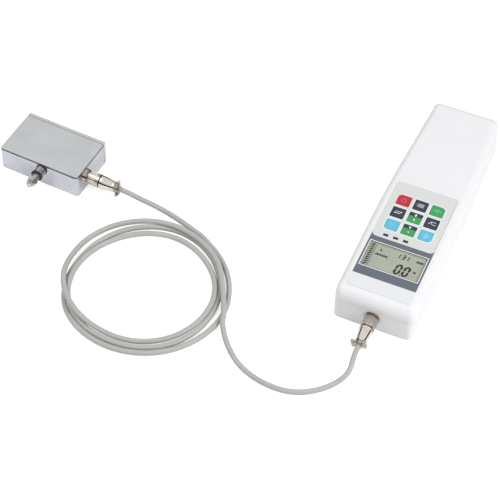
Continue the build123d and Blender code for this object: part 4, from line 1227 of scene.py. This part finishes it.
@dataclass
class Keypad:
    """The keypad film, its nine keys with their signs, and the label strip by the display."""

    key: float = 10.9
    pitch: float = 14.2
    row_y: float = -22.2
    face: float = 36.7
    film_face: float = 36.2
    film_start: float = -47.9
    film_end: float = 11.0
    film_corner: float = 4.0
    halo: float = 1.3
    halo_gap: float = 0.25
    corner: float = 3.2
    small_corner: float = 0.5
    # place, width and sweep of the painted shade line beside the film's right edge
    shade_x: float = 25.88
    shade_width: float = 0.24
    shade_turn: float = 70.0
    keys: ClassVar[tuple[Key, ...]] = (
        Key("power", -1, 1, Finish.RED_KEY, Finish.RED_INK, (
            (Marks.band, (0.0, -0.2), 2.1, 0.5, 125.0, 415.0), (Marks.bar, (0.0, 1.6), 0.5, 2.4))),
        Key("menu", 0, 1, Finish.DARK_KEY, Finish.WHITE_INK, tuple(
            (Marks.bar, (x, y), width, 0.5) for y in (-1.35, 0.0, 1.35)
            for x, width in ((0.5, 4.6), (-2.7, 0.6)))),
        Key("zero", 1, 1, Finish.GREEN_KEY, Finish.GREEN_INK, (
            (Marks.band, (0.0, 0.0), 1.35, 0.5, 0.0, 360.0, 28),
            (Marks.triangle, (-2.9, 0.0), 0.8, -90.0), (Marks.triangle, (2.9, 0.0), 0.8, 90.0))),
        Key("units", -1, 0, Finish.DARK_KEY, Finish.WHITE_INK, (
            (Marks.bar, (0.0, 0.9), 4.4, 0.5), (Marks.triangle, (2.5, 0.9), 0.95, -90.0),
            (Marks.bar, (0.0, -0.9), 4.4, 0.5), (Marks.triangle, (-2.5, -0.9), 0.95, 90.0))),
        Key("peak", 1, 0, Finish.DARK_KEY, Finish.WHITE_INK, (
            (Marks.bar, (-1.75, -0.2), 0.5, 3.1, -32.0), (Marks.bar, (-0.1, -0.2), 0.5, 3.1, 32.0),
            (Marks.bar, (2.3, -1.3), 2.6, 0.5), (Marks.bar, (1.2, 1.5), 4.2, 0.4))),
        Key("up", 0, 0, Finish.UP_KEY, Finish.WHITE_INK, (
            (Marks.triangle, (0.0, 3.0), 1.45), (Marks.bar, (0.0, 2.0), 0.8, 1.3),
            (Marks.triangle, (0.0, -2.1), 1.15), (Marks.bar, (0.0, -3.0), 0.55, 0.9))),
        Key("down", 0, -1, Finish.DOWN_KEY, Finish.WHITE_INK, (
            (Marks.triangle, (0.0, 3.0), 1.45, 180.0), (Marks.triangle, (0.2, -2.1), 1.0, 90.0))),
        Key("light", -1, -1, Finish.BLUE_KEY, Finish.BLUE_INK, (
            (Marks.band, (0.0, 0.0), 0.8, 0.4, 0.0, 360.0, 16),
            *((Marks.bar, round_place(2.0, turn), 0.9, 0.35, turn) for turn in range(0, 360, 45)))),
        Key("print", 1, -1, Finish.BLUE_KEY, Finish.BLUE_INK, (
            (Marks.bar, (0.0, -0.9), 4.4, 1.6), (Marks.bar, (0.0, 1.3), 2.4, 1.6),
            (Marks.bar, (0.0, -2.7), 2.4, 1.1))),
    )

    def place(self, key: Key) -> Place:
        """A key's middle; columns and rows are counted from the middle key."""
        return key.column * self.pitch, self.row_y + key.row * self.pitch

    def outline(self, key: Key, grow: float) -> np.ndarray:
        """A key's outline, with its outer corner large where it stands in the keypad's corner.

        Args:
            key: The key.
            grow: How far the outline lies outside the key.

        Returns:
            Points about the key's middle, one row each.
        """
        radii = tuple((self.corner if (key.column, key.row) == sign else self.small_corner) + grow
                      for sign in CORNER_SIGNS)
        return rounded_outline(self.key + 2 * grow, self.key + 2 * grow, radii)

    def halos(self) -> None:
        """Print a pale frame on the film round every key, a pink one round the power key."""
        for name, finish, keys in (
            ("pink_key_frame", Finish.PINK_HALO, self.keys[:1]),
            ("pale_key_frames", Finish.PALE_HALO, self.keys[1:]),
        ):
            frames = [printed_frame("frame", self.outline(key, self.halo),
                                    self.outline(key, self.halo_gap), self.place(key),
                                    self.film_face) for key in keys]
            seat(joined(name, frames), INSTRUMENT, "film", finish)

    def signs(self) -> None:
        """Print a plain sign on each key."""
        for key in self.keys:
            x, y = self.place(key)
            sign = Marks.printed(self.face)
            for add, (across, up), *rest in key.strokes:
                add(sign, (x + across, y + up), *rest)
            sign.piece(f"{key.name}_sign", key.ink, "film", f"key_{key.name}_body")

    def film_seam(self) -> None:
        """Paint the shade that falls in the recess beside the film's right edge and far corner, as
        a dark grey line.
        """
        seam = Marks.printed(self.film_face)
        straight_end = self.film_end - self.film_corner
        seam.bar((self.shade_x, (straight_end + self.film_start) / 2), self.shade_width,
                 straight_end - self.film_start)
        seam.band((self.shade_x - self.film_corner, straight_end), self.film_corner,
                  self.shade_width, 0.0, self.shade_turn, 14)
        seam.piece("film_seam", Finish.GREY_INK, "film", INSTRUMENT)

    def build(self) -> None:
        """Dress the films and keys, print their marks, and paint the shade beside the film's right
        edge.
        """
        dress({"keypad_overlay": Finish.FILM, "label_strip": Finish.LABEL})
        dress({f"key_{key.name}": key.finish for key in self.keys})
        self.halos()
        self.film_seam()
        self.signs()
        LOG.info("keypad dressed")


@dataclass
class Display:
    """The bezel film, window, crystal and the figures that it shows, and the status windows."""

    crystal_face: float = 35.1
    figure_sink: float = 0.01
    figure_relief: float = 0.04
    film_face: float = 36.2
    window_y: float = -71.1
    frame_outer: tuple[float, float] = (49.0, 27.8)
    frame_inner: tuple[float, float] = (47.6, 26.4)
    # inner size of the painted shade line inside the white frame
    shade_inner: tuple[float, float] = (46.9, 25.7)
    frame_corner: float = 0.3
    slant: float = 0.14
    stroke: float = 1.85
    small_stroke: float = 1.0
    graph_x: tuple[float, float, float] = (-23.1, -20.6, -18.2)
    graph_y: tuple[float, float] = (-82.6, -59.3)
    graph_pitch: float = 2.3
    graph_ends: tuple[float, float] = (-22.2, -18.6)
    graph_dash: float = 1.2
    finishes: ClassVar[dict[str, Finish]] = {
        "display_bezel": Finish.BEZEL, "status_windows": Finish.DARK_PANE,
        "lcd_window": Finish.CLEAR_PANE, "lcd_module": Finish.CRYSTAL,
    }

    def marks(self, slant: float = 0.0) -> Marks:
        """A fresh set of marks on the crystal, leaning to the right by a share of their height."""
        return Marks(self.crystal_face - self.figure_sink, self.crystal_face + self.figure_relief,
                     slant)

    def bar_graph(self) -> Marks:
        """The dashed frame and slanting bars of the column at the display's left edge.

        Returns:
            The column's marks.
        """
        graph = self.marks()
        left, middle, right = self.graph_x
        low, high = self.graph_y
        graph.bars((left, right), np.arange(low + 1.0, high, self.graph_pitch), 0.55, 1.6)
        graph.bars((middle,), np.arange(low + 1.5, high - 0.4, self.graph_pitch), 3.5, 1.2, 36.0)
        graph.bars(np.arange(*self.graph_ends, self.graph_dash), (low, high), 0.8, 0.4)
        return graph

    def reading(self) -> Marks:
        """The reading's large figures and their point.

        Returns:
            The reading's marks.
        """
        reading = self.marks(self.slant)
        for x in (5.6, 12.1):
            digit(reading, "0", (x, -76.8), width=3.5, height=9.3, stroke=self.stroke)
        reading.bar((8.3, -82.0), 1.0, 1.0)
        return reading

    def small_figures(self) -> Marks:
        """The small figures above the reading.

        Returns:
            Their marks.
        """
        small = self.marks(self.slant)
        for figure, x in (("1", 1.6), ("3", 5.6), ("1", 8.7)):
            digit(small, figure, (x, -63.5), width=2.0, height=4.4, stroke=self.small_stroke)
        return small

    def signs(self) -> Marks:
        """The short strokes that stand for the display's words and units.

        Returns:
            Their marks.
        """
        signs = self.marks()
        signs.bar((-13.2, -63.8), 1.0, 2.8, 12.0)
        signs.bars(np.arange(-15.6, -5.4, 1.28), (-68.7,), 1.05, 2.0, -8.0)
        signs.bars((16.8, 18.3, 19.8, 21.2), (-63.8,), 1.15, 2.2, -8.0)
        signs.bar((18.5, -75.0), 2.5, 1.5, -24.0)
        return signs

    def window_frame(self) -> None:
        """Print the white frame round the window, and paint the recess's shade inside it as a dark
        line.
        """
        for name, finish, outer, inner in (
            ("window_frame", Finish.WHITE_INK, self.frame_outer, self.frame_inner),
            # the second frame is painted shade of the window's recess
            ("window_line", Finish.BLACK_INK, self.frame_inner, self.shade_inner),
        ):
            edges = [rounded_outline(*size, (self.frame_corner,) * 4, 4) for size in (outer, inner)]
            seat(printed_frame(name, *edges, (0.0, self.window_y), self.film_face), INSTRUMENT,
                 "bezel", finish)

    def build(self) -> None:
        """Dress the display's parts and lay its figures on the crystal."""
        dress(self.finishes)
        self.window_frame()
        for name, marks in (("bar_graph", self.bar_graph()), ("reading", self.reading()),
                            ("small_figures", self.small_figures()),
                            ("display_signs", self.signs())):
            marks.piece(name, Finish.SEGMENT, "lcd", INSTRUMENT)
        LOG.info("display dressed")


@dataclass
class Connector:
    """One of the cable's two round connectors: panel nut, coupling nut, plug and clamp."""

    side: str
    finishes: ClassVar[dict[str, Finish]] = {
        "socket": Finish.NICKEL, "panel_nut": Finish.NICKEL, "coupling_nut": Finish.SATIN_NICKEL,
        "plug": Finish.NICKEL, "seal_ring": Finish.RUBBER, "cable_clamp": Finish.DARK_NICKEL,
        "clamp_screws": Finish.STEEL,
    }

    def build(self) -> None:
        """Dress the connector's parts."""
        dress({f"{self.side}_{part}": finish for part, finish in self.finishes.items()})
        LOG.info("%s connector dressed", self.side)


@dataclass
class LoadCell:
    """The external load cell's box, plates, stud and inner beam."""

    centre: Place = (-304.7, -59.3)
    along: Place = (0.997916, -0.064532)
    across: Place = (0.064532, 0.997916)
    width: float = 73.5
    depth: float = 47.0
    corner: float = 3.0
    sharp_corner: float = 1.5
    skin: float = 0.6
    slack: float = 0.001
    level_limit: float = 0.5
    axis_height: float = 11.5
    stud_tip: float = 17.2
    stud_bevel: float = 0.7
    stud_profile: tuple[Place, ...] = (
        (-12.9, 0.0), (-12.9, 2.0), (-5.9, 2.0), (-5.9, 5.5), (-3.4, 5.5), (-3.4, 3.4),
        (8.7, 3.4), (9.0, 3.1), (9.0, 2.1), (13.55, 2.1),
    )
    thread_radius: float = 2.5
    thread_pitch: float = 0.8
    thread_depth: float = 0.4
    thread_step: float = 0.08
    finishes: ClassVar[dict[str, Finish]] = {
        "sensor_rear_plate": Finish.SATIN, "sensor_rear_gasket": Finish.RUBBER,
        "rear_plate_screws": Finish.STEEL, "load_cell": Finish.ALUMINIUM,
        "stud_boss": Finish.STEEL, "stud_seal": Finish.RUBBER, "stud_nut": Finish.STEEL,
    }

    def sharpen(self, thing: bpy.types.Object, side: int) -> None:
        """Draw one of the box's front corners out to a smaller radius.

        A point at distance p from the old corner's centre keeps its direction and lies
        at p less the difference of the radii from a centre moved out by that difference.
        Points further in than the skin belong to an inner wall and stay.

        Args:
            thing: The merged copy of a CAD node.
            side: -1 for the left front corner, 1 for the right one.
        """
        points = np.empty(3 * len(thing.data.vertices))
        thing.data.vertices.foreach_get("co", points)
        points = points.reshape(-1, 3)
        along, across = np.array(self.along), np.array(self.across)
        flat = points[:, :2] / MM - np.array(self.centre)
        local = np.stack([flat @ along * side, -(flat @ across)], axis=1)
        middle = np.array([self.width, self.depth]) / 2 - self.corner
        reach = local - middle
        span = np.linalg.norm(reach, axis=1)
        moved = np.all(reach > -self.slack, axis=1) & (span > self.corner - self.skin)
        length = span[moved, None]
        less = self.corner - self.sharp_corner
        drawn = middle + less + reach[moved] / length * (length - less)
        points[moved, :2] = (np.outer(drawn[:, 0] * side, along) - np.outer(drawn[:, 1], across)
                             + np.array(self.centre)) * MM
        thing.data.vertices.foreach_set("co", points.ravel())
        thing.data.update()

    def stud(self) -> None:
        """Turn the measuring stud, with a real thread on its outer end."""
        x, y = np.array(self.centre) - np.array(self.across) * self.depth / 2
        axis = Axis((x, y, self.axis_height), (-self.across[0], -self.across[1], 0.0))
        tip, radius, bevel = self.stud_tip, self.thread_radius, self.stud_bevel
        start = self.stud_profile[-1][0]
        crest = np.arange(start, tip - bevel, self.thread_step)
        profile = np.vstack([
            self.stud_profile, np.column_stack([crest, np.full(len(crest), radius)]),
            [(tip - bevel, radius), (tip, radius - bevel), (tip, 0.0)]])
        relief = thread_relief(self.thread_pitch, self.thread_depth, (start, tip))
        thing = turned("measuring_stud_threaded", axis, profile, relief)
        soften(thing)
        seat(thing, "stud", "steel", Finish.STEEL, "measuring_stud")

    def shade_cut_edges(self, thing: bpy.types.Object) -> None:
        """Darken a plate's cut edges, the faces whose normals rise by less than the level limit;
        the dark colour stands for the cut finish and also paints the shade of the seam along the
        plate's edge.

        Args:
            thing: The plate, in the finish of its faces.
        """
        thing.data.materials.append(Finish.CUT_EDGE.material)
        normals = np.empty(3 * len(thing.data.polygons))
        thing.data.polygons.foreach_get("normal", normals)
        upright = np.abs(normals.reshape(-1, 3)[:, 2]) < self.level_limit
        thing.data.polygons.foreach_set("material_index", upright.astype(np.int32))

    def build(self) -> None:
        """Dress the load cell's parts."""
        plate = finished("sensor_top_plate", "satin_steel", Finish.SATIN)
        housing = finished("sensor_housing", "polished_steel", Finish.POLISHED)
        gasket = finished("sensor_top_gasket", "black_rubber", Finish.RUBBER)
        for thing in (plate, housing, gasket):
            self.sharpen(thing, -1)
        self.sharpen(plate, 1)
        # the darker cut edges also paint the shade of the seam under the plate's edge
        self.shade_cut_edges(plate)
        self.stud()
        dress(self.finishes)
        LOG.info("load cell dressed")


def main() -> None:
    """Build the studio, lay the cable and dress every sub-assembly."""
    logging.basicConfig(level=logging.INFO, format="%(message)s")
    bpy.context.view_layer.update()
    for assembly in (Studio(), Cable(), Casing(), Keypad(), Display(), Connector("display"),
                     Connector("sensor"), LoadCell()):
        assembly.build()


if __name__ == "__main__":
    main()
